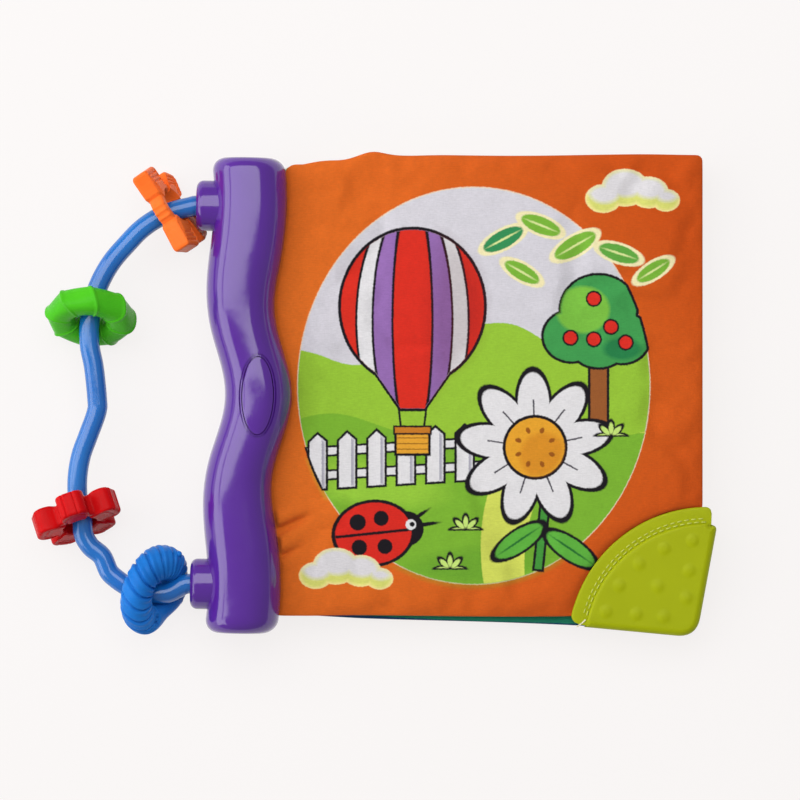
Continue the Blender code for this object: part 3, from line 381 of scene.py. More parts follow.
def gloss_plastic(name, colour, deep, roughness, specular=0.5, ripple=0.00004, grain=0.12):
    """Moulded plastic: faint flow marks in the colour, uneven gloss and a slight ripple."""
    material, tree, shader, place = object_material(name)
    drift = ranged(tree, clouds(tree, place, 45, 4, 0.55), 0.3, 0.75, 0.0, 1.0)
    speckle = clouds(tree, place, 900, 2, 0.6)
    surfaced(tree, shader, drift, colour, deep, speckle, roughness * 0.85, roughness * 1.2)
    preset(shader, IOR=1.58, Specular_IOR_Level=specular)
    waves = maths(tree, "ADD", clouds(tree, place, 160, 2), maths(tree, "MULTIPLY", speckle, grain))
    bumped(tree, shader, waves, ripple)
    return material


def bead_plastic(name, colour, deep):
    return gloss_plastic(name, colour, deep, 0.24, 0.05, 0.00002, 0.02)


PURPLE = gloss_plastic("purple_moulding", tint(84, 34, 146), tint(80, 30, 140), 0.12, 0.62)
BLUE = gloss_plastic("blue_tubing", tint(26, 112, 192), tint(16, 98, 180), 0.13, 0.6)
COLLAR = gloss_plastic("collar_moulding", tint(38, 100, 180), tint(28, 84, 164), 0.35)
ORANGE_BEAD = bead_plastic("orange_bead_moulding", tint(252, 122, 50), tint(244, 98, 34))
GREEN_BEAD = bead_plastic("green_bead_moulding", tint(78, 190, 34), tint(64, 170, 30))
RED_BEAD = bead_plastic("red_bead_moulding", tint(204, 16, 20), tint(180, 10, 14))
BLUE_BEAD = bead_plastic("blue_bead_moulding", tint(38, 126, 212), tint(26, 104, 194))


def brushed_steel():
    material, tree, shader, place = object_material("screw_steel_brushed")
    grain = clouds(tree, place, 2200, 2, 0.6, stretch=(1, 8, 1))
    preset(shader, Metallic=1)
    surfaced(tree, shader, grain, tint(205, 205, 208), tint(160, 160, 165), grain, 0.22, 0.42)
    bumped(tree, shader, grain, 0.00002)
    return material


STEEL = brushed_steel()


# Handle

def handle_centre(along):
    wave = (1 + cos(2 * pi * along / WAVE_LENGTH)) / 2
    return -WAVE_DEPTH * (1 - wave * (1 - WAVE_FADE * smoothstep(abs(along) / WAVE_LENGTH)))


def handle_half_width(along):
    widening = smoothstep((abs(along) - 0.024) / 0.024)
    return (HANDLE_WIDTHS[0] + (HANDLE_WIDTHS[1] - HANDLE_WIDTHS[0]) * widening) / 2


def handle_loft(name, inset, end_inset, sides=HANDLE_SIDES, count=HANDLE_STATIONS, end_steps=8):
    radius = END_ROUNDING - inset
    straight = HANDLE_LENGTH / 2 - end_inset - radius
    places = [(straight * (2 * step / count - 1), 0) for step in range(count + 1)]
    for step in range(1, end_steps + 1):
        angle = pi / 2 * step / end_steps
        out, shrink = radius * sin(angle), radius * (1 - cos(angle))
        places.append((straight + out, shrink))
        places.insert(0, (-straight - out, shrink))
    rings = []
    for along, shrink in places:
        half_width = handle_half_width(along) - inset - shrink
        half_height = HANDLE_HEIGHT / 2 - inset - shrink
        ring = []
        for side in range(sides):
            angle = spin(side, sides)
            x = handle_centre(along) + half_width * power(cos(angle), 2 / SQUARENESS)
            ring.append((x, along, half_height * power(sin(angle), 2 / SQUARENESS)))
        rings.append(ring)
    return add_piece(name, skinned(name, rings))


def screw_places():
    outer, inner = HANDLE_LENGTH / 2 - 0.00645, 0.1712 * HANDLE_LENGTH
    return [(handle_centre(along) - 0.0049, along) for along in (outer, inner, -inner, -outer)]


def boss_edge():
    return handle_half_width(BOSS_OFFSET) - handle_centre(BOSS_OFFSET)


def boss_seat_matrix(side):
    return Matrix.Translation((0, side * BOSS_OFFSET, 0)) @ Matrix.Rotation(-pi / 2, 4, "Y")


def boss_piece(name):
    """Two round stubs with rounded rims."""
    reach, radius, rounding = boss_edge() + BOSS_REACH, 0.0081, 0.0023
    profile = [(0, reach), (radius - rounding, reach)]
    for step in range(1, 9):
        angle = pi / 2 * step / 8
        profile.append((radius - rounding + rounding * sin(angle),
                        reach - rounding + rounding * cos(angle)))
    profile += [(radius, 0.0125), (0, 0.0125)]
    work = bmesh.new()
    for side in (1, -1):
        lathe(work, profile, 64, boss_seat_matrix(side))
    return add_piece(name, mesh_of(name, work))


def handle_edge(y):
    """How far the handle's right side stands from the book's axis."""
    return handle_centre(y) + handle_half_width(y) + y * sin(HANDLE_LEAN)


def oval_pad(name):
    """The slightly domed pad inside the oval grooves."""
    rings = []
    for share in (1.0, 1.0, 0.93, 0.84, 0.72, 0.58, 0.42, 0.26, 0.10):
        ring = []
        for i in range(96):
            angle = spin(i, 96)
            x, along = 0.0048 * share * cos(angle), 0.0122 * share * sin(angle)
            side = abs(x - handle_centre(along)) / handle_half_width(along)
            top = HANDLE_HEIGHT / 2 * (1 - side ** SQUARENESS) ** (1 / SQUARENESS)
            height = top + 0.00036 * (1 - share ** 4) - 0.00006 if rings else HANDLE_HEIGHT / 2 - 0.0030
            ring.append((x, along, height))
        rings.append(ring)
    return add_piece(name, skinned(name, rings))


def oval_groove(name, width, length, groove, depth):
    rings = []
    top = HANDLE_HEIGHT / 2 + 0.004
    for inset, height in ((0, 0), (0, top), (groove, top), (groove, 0)):
        rings.append([((width / 2 - inset) * cos(spin(i, 96)),
                       (length / 2 - inset) * sin(spin(i, 96)), height) for i in range(96)])
    cutter = add_piece(name, skinned(name, rings, closed=True))
    carve(cutter, [("DIFFERENCE", handle_loft(name + "_floor", depth, depth))])
    return cutter


def handle_shell(name, front):
    shell = handle_loft(name, 0, 0)
    reach = HANDLE_LENGTH
    cavity = handle_loft(name + "_cavity", 0.0020, 0.0030, 32, 40, 3)
    low, high = (-reach, PARTING_GAP / 2) if front else (-PARTING_GAP / 2, reach)
    steps = [("UNION", boss_piece(name + "_bosses"))]
    if front:
        steps.append(("UNION", oval_pad("oval_pad")))
    steps += [("DIFFERENCE", cavity),
              ("DIFFERENCE", box_piece(name + "_half", (-reach, -reach, low), (reach, reach, high))),
              ("DIFFERENCE", cylinders_piece(name + "_bores", [
                  (boss_seat_matrix(side), TUBE_RADIUS + 0.0002, 0.008, 0.03) for side in (1, -1)], 40))]
    if front:
        steps.append(("DIFFERENCE", oval_groove("outer_oval", 0.0120, 0.0268, 0.00045, 0.0004)))
        steps.append(("DIFFERENCE", oval_groove("inner_oval", 0.0104, 0.0252, 0.00030, 0.0003)))
    else:
        holes = [(Matrix.Translation((*place, 0)), 0.0025, -0.02, -0.0078) for place in screw_places()]
        steps.append(("DIFFERENCE", cylinders_piece(name + "_holes", holes)))
        slot_low = -STACK_GAP - STACK_HEIGHT - 0.0003
        steps.append(("DIFFERENCE", box_piece(name + "_slot", (0, -0.0724, slot_low), (0.03, 0.0724, 0.004))))
        steps.append(("DIFFERENCE", box_piece(name + "_floor", (-reach, -reach, -0.03),
                                              (reach, reach, -AXIS_HEIGHT))))
    carve(shell, steps)
    shell.matrix_world = HANDLE
    coated(shell, PURPLE)
    node = "handle_front_shell" if front else "handle_back_shell"
    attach(shell, "handle")
    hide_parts(node)


# Rail

def arc_points(arc):
    count = max(2, round((arc[4] - arc[3]) / 10))
    points = []
    for step in range(count + 1):
        angle = radians(arc[3] + (arc[4] - arc[3]) * step / count)
        points.append(Vector((arc[0] + arc[2] * cos(angle), arc[1] + arc[2] * sin(angle), 0))
                      * BOSS_OFFSET)
    return points


def rail_route():
    seat, reach = boss_edge() - 0.0029, boss_edge() + BOSS_REACH
    inner = seat - 0.0033
    ends = [Vector((-x, BOSS_OFFSET, 0)) for x in (inner, (inner + reach) / 2, reach)]
    route = ends + arc_points(UPPER_ARC) + arc_points(LEFT_ARC)
    route += [Vector((x, y, 0)) * BOSS_OFFSET for x, y in MIDDLE_WAVE]
    route += arc_points(LOWER_LEFT_ARC)
    route += [Vector((x, y, 0)) * BOSS_OFFSET for x, y in BOTTOM_WAVE]
    route += arc_points(BOTTOM_ARC)
    route += [Vector((x, y, 0)) * BOSS_OFFSET for x, y in BOSS_APPROACH]
    return route + [Vector((point.x, -point.y, 0)) for point in reversed(ends)]


def smooth_route(points, steps):
    padded = [2 * points[0] - points[1]] + points + [2 * points[-1] - points[-2]]
    route = []
    for before, start, end, after in zip(padded, padded[1:], padded[2:], padded[3:]):
        for step in range(steps):
            t = step / steps
            route.append((2 * start + (end - before) * t + (2 * before - 5 * start + 4 * end - after) * t ** 2
                          + (3 * start - 3 * end + after - before) * t ** 3) / 2)
    return route + [points[-1]]


def tube_piece():
    curve = bpy.data.curves.new("bead_rail_tube", "CURVE")
    curve.dimensions = "3D"
    curve.bevel_depth = TUBE_RADIUS
    curve.bevel_resolution = 9
    curve.use_fill_caps = True
    points = smooth_route(rail_route(), 7)
    spline = curve.splines.new("POLY")
    spline.points.add(len(points) - 1)
    for point, place in zip(spline.points, points):
        point.co = (*place, 1)
    spline.use_smooth = True
    curve.materials.append(BLUE)
    tube = bpy.data.objects.new("bead_rail_tube", curve)
    bpy.context.scene.collection.objects.link(tube)
    tube.matrix_world = HANDLE
    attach(tube, "handle")
    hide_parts("tube_loop")


# Beads: bore along local Z, and local +Y faces up

def bead_matrix(arc, angle, yaw, tilt, offset, lift):
    angle, yaw, tilt = (radians(value) for value in (angle, yaw, tilt))
    radius = arc[2] * BOSS_OFFSET + offset
    centre = Vector((arc[0] * BOSS_OFFSET + radius * cos(angle),
                     arc[1] * BOSS_OFFSET + radius * sin(angle), lift))
    heading = angle + pi / 2 + yaw
    along = Vector((cos(heading), sin(heading), 0))
    bore = along * cos(tilt) + Vector((0, 0, 1)) * sin(tilt)
    top = Vector((0, 0, 1)) * cos(tilt) - along * sin(tilt)
    return HANDLE @ Matrix.Translation(centre) @ Matrix((top.cross(bore), top, bore)).transposed().to_4x4()


def ring_mesh(name, around, over, point):
    """A closed ring skinned from a formula of the two angles round it."""
    rings = []
    for i in range(around):
        first = spin(i, around)
        rings.append([point(first, spin(j, over)) for j in range(over)])
    return skinned(name, rings, closed=True)


def angle_gap(first, second):
    return (first - second + pi) % (2 * pi) - pi


def ridge(gap, width):
    return math.exp(-(gap / width) ** 2)


def green_point(around, over):
    """Eight flat panels between raised ridges that swirl over the ring."""
    panel = radians(45)
    swept = around - radians(85) + 0.14 * sin(over)
    gap = ((swept / panel) % 1 - 0.5) * panel
    facet = cos(panel / 2) / cos(gap)
    raised = 0.00030 * ridge(panel / 2 - abs(gap), 0.045)
    reach = 0.0098 + (0.0047 + raised) * power(cos(over), 0.80)
    reach *= 1 - (1 - facet) * max(0, cos(over)) ** 0.7
    return (*polar(reach, around), (0.0042 + raised) * power(sin(over), 0.80))


def blue_point(around, over):
    """Curved ribs from rim to hole, with a fat lobe at one end and a smooth, pointed head at the other."""
    lobe = smoothstep(1 - abs(angle_gap(around, 0)) / 1.15)
    cut = smoothstep(1 - abs(angle_gap(around, radians(228))) / 0.85)
    swept = around - 0.26 * sin(over)
    turn = math.degrees(swept) % 360
    ribbed = smoothstep((abs(angle_gap(swept, radians(214))) - radians(34)) / radians(7))
    gap = (turn / 22.5 + 0.5) % 1 - 0.5
    groove = ribbed * (0.00110 * ridge(gap, 0.095) - 0.00025 * (1 - (2 * gap) ** 2))
    mouth = smoothstep((turn - 150) / 5) * smoothstep((182 - turn) / 5) * smoothstep(sin(over) / 0.4)
    groove += 0.00040 * mouth * ridge((turn / 6.4) % 1 - 0.5, 0.17)
    width = 0.0050 + 0.0004 * lobe - 0.0014 * cut - groove
    height = 0.0046 + 0.0010 * lobe - 0.0008 * cut - groove
    reach = 0.0093 + 0.0004 * lobe - 0.0012 * cut + width * power(cos(over), 0.9)
    return (*polar(reach, around), height * power(sin(over), 0.9) + 0.0006 * lobe)


def block_reach(angle, place, size, turn, rounding):
    """Distance from the centre at which a ray leaves a rounded block, or 0 if it misses."""
    for step in range(120, 20, -1):
        distance = step * 0.00015
        x, y = distance * cos(angle) - place[0], distance * sin(angle) - place[1]
        across = x * cos(turn) + y * sin(turn)
        up = y * cos(turn) - x * sin(turn)
        over_x = max(0, abs(across) - size[0] / 2 + rounding)
        over_y = max(0, abs(up) - size[1] / 2 + rounding)
        if math.hypot(over_x, over_y) <= rounding:
            return distance
    return 0


def softened(values, reach=1):
    """Round a closed list of values by averaging each with its neighbours."""
    count = len(values)
    return [sum(values[(i + k) % count] for k in range(-reach, reach + 1)) / (2 * reach + 1)
            for i in range(count)]


def flat_bead_mesh(name, outline, thickness, bore, face, samples=22):
    """A thick plate with a rounded rim round its bore. Outline and thickness are lists by angle."""
    count = len(outline)
    rings = []
    rounding, mouth = 0.0010, bore + 0.0009
    for i in range(count):
        around = spin(i, count)
        far, half = outline[i], thickness[i] / 2
        reaches = [mouth + (far - rounding - bore - 0.0009) * (step / samples) for step in range(samples)]
        profile = [(reach, half - face(reach, far)) for reach in reaches]
        for step in range(0, 7):
            angle = pi / 2 * step / 6
            profile.append((far - rounding + rounding * sin(angle),
                            half - rounding + rounding * cos(angle)))
        lower = [(reach, -height) for reach, height in reversed(profile)]
        inner = [(bore + 0.0003, -half + 0.0006), (bore, -half * 0.5), (bore, half * 0.5),
                 (bore + 0.0003, half - 0.0006)]
        rings.append([(*polar(reach, around), height) for reach, height in profile + lower + inner])
    return skinned(name, rings, closed=True)


def red_bead_mesh():
    """Five rounded lobes with upright grooves in their rims and dished faces."""
    count = 400
    outline = []
    for i in range(count):
        around = spin(i, count)
        reach = 0.0090
        for number in range(5):
            middle = pi / 2 + spin(number, 5)
            reach = max(reach, block_reach(around, polar(0.0097, middle), (0.0090, 0.0092), middle, 0.0030))
        outline.append(reach)
    outline = softened(outline, 2)
    for i in range(count):
        around = spin(i, count)
        for number in range(5):
            middle = pi / 2 + spin(number, 5)
            for turn in (-0.10, 0.16):
                outline[i] -= 0.00038 * ridge(angle_gap(around, middle + turn), 0.020)
    thickness = [0.0080 if reach > 0.0112 else 0.0068 + 0.0012 * smoothstep((reach - 0.009) / 0.0022)
                 for reach in outline]

    def face(reach, far):
        rim = far - reach
        return 0.00030 * ridge(rim - 0.0026, 0.00045) + 0.00022 * smoothstep((rim - 0.003) / 0.001)

    return flat_bead_mesh("red_lobed_bead", outline, thickness, BEAD_BORE, face)


def orange_bead_mesh():
    """Four square-ended wings with nested ridges, a ribbed body and a knurled edge."""
    count = 420
    roll = radians(-4)
    wings = []
    for side in (1, -1):
        wings.append(((side * 0.0098, 0.0042), (0.0098 if side > 0 else 0.0086, 0.0092),
                      side * radians(8), 0.0009))
        far = 0.0092 if side > 0 else 0.0072
        wings.append(((side * far, -0.0080), (0.0084, 0.0074), -side * radians(20), 0.0020))
    outline = []
    for i in range(count):
        around = spin(i, count) + roll
        reach = 0.0086
        for place, size, turn, rounding in wings:
            reach = max(reach, block_reach(around, place, size, turn, rounding))
        outline.append(reach)
    outline = softened(outline, 1)
    for i in range(count):
        around = spin(i, count)
        for number in (-1, 0, 1):
            gap = angle_gap(around, pi / 2 + 0.02 + number * 0.24)
            outline[i] += 0.00032 * ridge(gap, 0.06) * (outline[i] < 0.0105)
        if pi * 1.05 < around < pi * 1.5:
            outline[i] -= 0.00016 * (1 + sin(around * 72)) * smoothstep((outline[i] - 0.009) / 0.001)
    thickness = [0.0048 + 0.0010 * smoothstep((reach - 0.0092) / 0.0009) for reach in softened(outline, 2)]

    def face(reach, far):
        rim = far - reach
        nested = ridge(rim - 0.0020, 0.00032) + ridge(rim - 0.0035, 0.00032) + ridge(rim - 0.0050, 0.0003)
        return 0.00040 * nested * smoothstep((far - 0.0098) / 0.001) * smoothstep((reach - 0.0068) / 0.001)

    return flat_bead_mesh("orange_winged_bead", outline, thickness, BEAD_BORE, face, 34)


def dome(work, matrix, radius, height, steps=20, rings=6, sunk=0.0003):
    """A low round cap on a surface, closed below."""
    sphere = (radius ** 2 + height ** 2) / (2 * height)
    half_angle = math.asin(min(1, radius / sphere)) if height < radius else pi / 2
    profile = [(0, height)]
    for step in range(1, rings + 1):
        slope = half_angle * step / rings
        profile.append((sphere * sin(slope), height - sphere * (1 - cos(slope))))
    profile += [(radius, -sunk), (0, -sunk)]
    lathe(work, profile, steps, matrix)


def add_bead(name, mesh, matrix, material, node, body, sharp=0):
    bead = add_piece(name, mesh, material, sharp)
    bead.matrix_world = matrix
    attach(bead, body)
    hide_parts(node)
    return bead


def add_beads():
    add_bead("orange_winged_bead", orange_bead_mesh(), bead_matrix(UPPER_ARC, 111.4, 12, -18.5, 0.0012, 0),
             ORANGE_BEAD, "orange_bead", "orange_bead_body", 40)
    add_bead("green_ring_bead", ring_mesh("green_ring_bead", 360, 48, green_point),
             bead_matrix(LEFT_ARC, 173.2, 4, 30, -0.0002, 0.0007),
             GREEN_BEAD, "green_bead", "green_bead_body")
    add_bead("red_lobed_bead", red_bead_mesh(), bead_matrix(LOWER_LEFT_ARC, 194.9, 5, 19, 0.0012, 0.0003),
             RED_BEAD, "red_bead", "red_bead_body", 40)
    shell = ring_mesh("blue_ribbed_bead", 450, 64, blue_point)
    snail = add_bead("blue_ribbed_bead", shell, bead_matrix(BOTTOM_ARC, -92, -15, 31, -0.0008, 0.0004),
                     BLUE_BEAD, "blue_bead", "blue_bead_body")
    work = bmesh.new()
    work.from_mesh(snail.data)
    eye = Vector((-0.0084, -0.0006, 0.0046))
    for vert in work.verts:
        distance = (vert.co - eye).length
        vert.co.z -= 0.0012 * ridge(distance - 0.0010, 0.00055)
    horn = Matrix.Translation((0.0138, 0.0002, 0.0048)) @ Matrix.Rotation(pi / 4, 4, "Y")
    dome(work, horn, 0.0010, 0.00099, sunk=0.0012)
    bmesh.ops.recalc_face_normals(work, faces=work.faces)
    work.to_mesh(snail.data)
    work.free()
    snail.data.shade_smooth()


# Printed cloth

BLACK = tint(26, 22, 28)
WHITE = tint(222, 220, 222)
SOFT = 0.0030
LINE = 0.0085


class Print:
    """Flat colours painted one over another on a page, in tenths of a metre."""

    def __init__(self, tree, place, colour=None):
        self.tree, self.place, self.colour = tree, place, colour
        split = tree.nodes.new("ShaderNodeSeparateXYZ")
        tree.links.new(place, split.inputs[0])
        self.x, self.y = split.outputs[0], split.outputs[1]

    def do(self, operation, *values):
        return maths(self.tree, operation, *values)

    def length(self, first, second):
        return self.do("SQRT", self.do("MULTIPLY_ADD", first, first, self.do("MULTIPLY", second, second)))

    def turned(self, x, y, width, height, turn):
        """Two coordinates about a place, along and across a turned axis, in shares of two lengths."""
        turn = radians(turn)
        result = []
        for across, up, size in ((cos(turn), sin(turn), width),
                                 (-sin(turn), cos(turn), height)):
            value = vectors(self.tree, "DOT_PRODUCT", self.place, (across / size, up / size, 0.0))
            result.append(self.do("SUBTRACT", value, (x * across + y * up) / size))
        return result

    def oval(self, x, y, width, height=None, turn=0.0):
        height = height or width
        if turn:
            first, second = self.turned(x, y, width, height, turn)
            reach = self.length(first, second)
        else:
            scaled = vectors(self.tree, "MULTIPLY_ADD", self.place, (1 / width, 1 / height, 0.0),
                             (-x / width, -y / height, 0.0))
            reach = vectors(self.tree, "LENGTH", scaled)
        return self.do("MULTIPLY_ADD", reach, min(width, height), -min(width, height))

    def slab(self, value, middle, half):
        return self.do("SUBTRACT", self.do("ABSOLUTE", self.do("SUBTRACT", value, middle)), half)

    def block(self, x, y, width, height, turn=0.0):
        if turn:
            first, second = self.turned(x, y, 1.0, 1.0, turn)
            return self.do("MAXIMUM", self.slab(first, 0.0, width), self.slab(second, 0.0, height))
        return self.do("MAXIMUM", self.slab(self.x, x, width), self.slab(self.y, y, height))

    def petals(self, x, y, count, reach, length, width, turn=0.0):
        """Ovals set round a place, folded into one sector."""
        across, up = self.do("SUBTRACT", self.x, x), self.do("SUBTRACT", self.y, y)
        share = self.do("MULTIPLY_ADD", self.do("ARCTAN2", up, across), count / (2 * pi), turn)
        angle = self.do("MULTIPLY", self.do("SUBTRACT", self.do("FRACT", share), 0.5), 2 * pi / count)
        radius = self.length(across, up)
        along = self.do("MULTIPLY_ADD", self.do("MULTIPLY", radius, self.do("COSINE", angle)), 1 / length,
                        -reach / length)
        aside = self.do("MULTIPLY", self.do("MULTIPLY", radius, self.do("SINE", angle)), 1 / width)
        far = self.length(along, aside)
        return self.do("MULTIPLY_ADD", far, width, -width), self.do("ABSOLUTE", aside), along

    def pickets(self, start, pitch, half, low, high, slope):
        """Pointed boards side by side."""
        level = self.do("MULTIPLY_ADD", self.x, -slope, self.y)
        share = self.do("FRACT", self.do("MULTIPLY_ADD", self.x, 1 / pitch, -start / pitch))
        across = self.do("ABSOLUTE", self.do("MULTIPLY_ADD", share, pitch, -pitch / 2))
        top = self.do("MULTIPLY_ADD", across, 0.9, self.do("SUBTRACT", level, high))
        edge = self.do("MAXIMUM", self.do("SUBTRACT", across, half), self.do("SUBTRACT", low, level))
        return self.do("MAXIMUM", edge, self.do("MULTIPLY", top, 0.75)), level, share

    def below(self, level, waves=(), slope=0.0):
        """The ground under a wavy line: waves are (height, rate, start)."""
        line = self.do("MULTIPLY_ADD", self.x, slope, level)
        for height, rate, start in waves:
            line = self.do("MULTIPLY_ADD", self.do("SINE", self.do("MULTIPLY_ADD", self.x, rate, start)),
                           height, line)
        return self.do("SUBTRACT", self.y, line)

    def joined(self, *shapes):
        result = shapes[0]
        for shape in shapes[1:]:
            result = self.do("MINIMUM", result, shape)
        return result

    def kept(self, shape, *within):
        for other in within:
            shape = self.do("MAXIMUM", shape, other)
        return shape

    def without(self, shape, hole):
        return self.do("MAXIMUM", shape, self.do("MULTIPLY", hole, -1.0))

    def inside(self, shape, soft=SOFT, grown=0.0):
        """How far inside a shape a point is; the mix node clamps it."""
        return self.do("MULTIPLY_ADD", shape, -1 / soft, 0.5 + grown / soft)

    def paint(self, shape, colour, soft=SOFT, grown=0.0):
        self.colour = mixed(self.tree, self.inside(shape, soft, grown), self.colour, colour)

    def shade(self, shape, colour, share, soft):
        cover = self.do("MULTIPLY", self.do("MINIMUM", self.inside(shape, soft), 1.0), share)
        self.colour = mixed(self.tree, cover, self.colour, colour)

    def outlined(self, shape, colour, line=LINE, rim=BLACK):
        self.paint(shape, rim, grown=line)
        self.paint(shape, colour)

    def cloud(self, puffs):
        shape = self.joined(*[self.oval(x, y, size, size * 0.8) for x, y, size in puffs])
        upper = self.joined(*[self.oval(x + 0.004, y + 0.026, size, size * 0.8) for x, y, size in puffs])
        self.paint(shape, tint(238, 222, 150), grown=0.006)
        self.paint(shape, tint(212, 214, 112), 0.012)
        self.paint(self.kept(shape, upper), tint(216, 213, 216), 0.016)


def cloth_finish(tree, shader, colour, place):
    """Woven polyester: crossing threads, slubs along them, a faint mottle and a soft sheen."""
    slubs = clouds(tree, place, 260, 3, 0.6, stretch=(0.22, 1.0, 1.0))
    down = clouds(tree, place, 240, 3, 0.6, stretch=(1.0, 0.25, 1.0))
    mottle = clouds(tree, place, 22, 4, 0.6)
    fine = clouds(tree, place, 520, 2, 0.7)
    grain = maths(tree, "ADD", maths(tree, "MULTIPLY", slubs, 0.5), maths(tree, "MULTIPLY", down, 0.22))
    grain = maths(tree, "ADD", grain, maths(tree, "MULTIPLY", fine, 0.28))
    level = ranged(tree, grain, 0.38, 0.62, 0.91, 1.08)
    level = maths(tree, "MULTIPLY", level, ranged(tree, mottle, 0.3, 0.7, 0.965, 1.035))
    shaded = vectors(tree, "MULTIPLY", colour, level)
    feed(tree, shader.inputs["Base Color"], shaded)
    split = tree.nodes.new("ShaderNodeSeparateXYZ")
    tree.links.new(place, split.inputs[0])
    threads = []
    for axis in (0, 1):
        wave = maths(tree, "SINE", maths(tree, "MULTIPLY", split.outputs[axis], pi * 2 / THREAD_PITCH))
        threads.append(wave)
    weave = maths(tree, "MULTIPLY", threads[0], threads[1])
    height = maths(tree, "ADD", maths(tree, "MULTIPLY", weave, 0.5), maths(tree, "MULTIPLY", grain, 2.2))
    bumped(tree, shader, height, 0.00006, 0.7)
    feed(tree, shader.inputs["Roughness"], ranged(tree, slubs, 0.3, 0.7, 0.78, 0.94))
    preset(shader, Specular_IOR_Level=0.12, Sheen_Weight=0.05, Sheen_Roughness=0.5)


def page_place(tree):
    """Page coordinates with the slight unevenness of ink on threads."""
    place = tree.nodes.new("ShaderNodeTexCoord").outputs["UV"]
    node = tree.nodes.new("ShaderNodeTexNoise")
    tree.links.new(place, node.inputs["Vector"])
    node.inputs["Scale"].default_value = 170
    node.inputs["Detail"].default_value = 2
    shift = vectors(tree, "SUBTRACT", node.outputs["Color"], (0.5, 0.5, 0.5))
    shift = vectors(tree, "MULTIPLY", shift, (0.0050, 0.0050, 0.0))
    return place, vectors(tree, "ADD", place, shift)


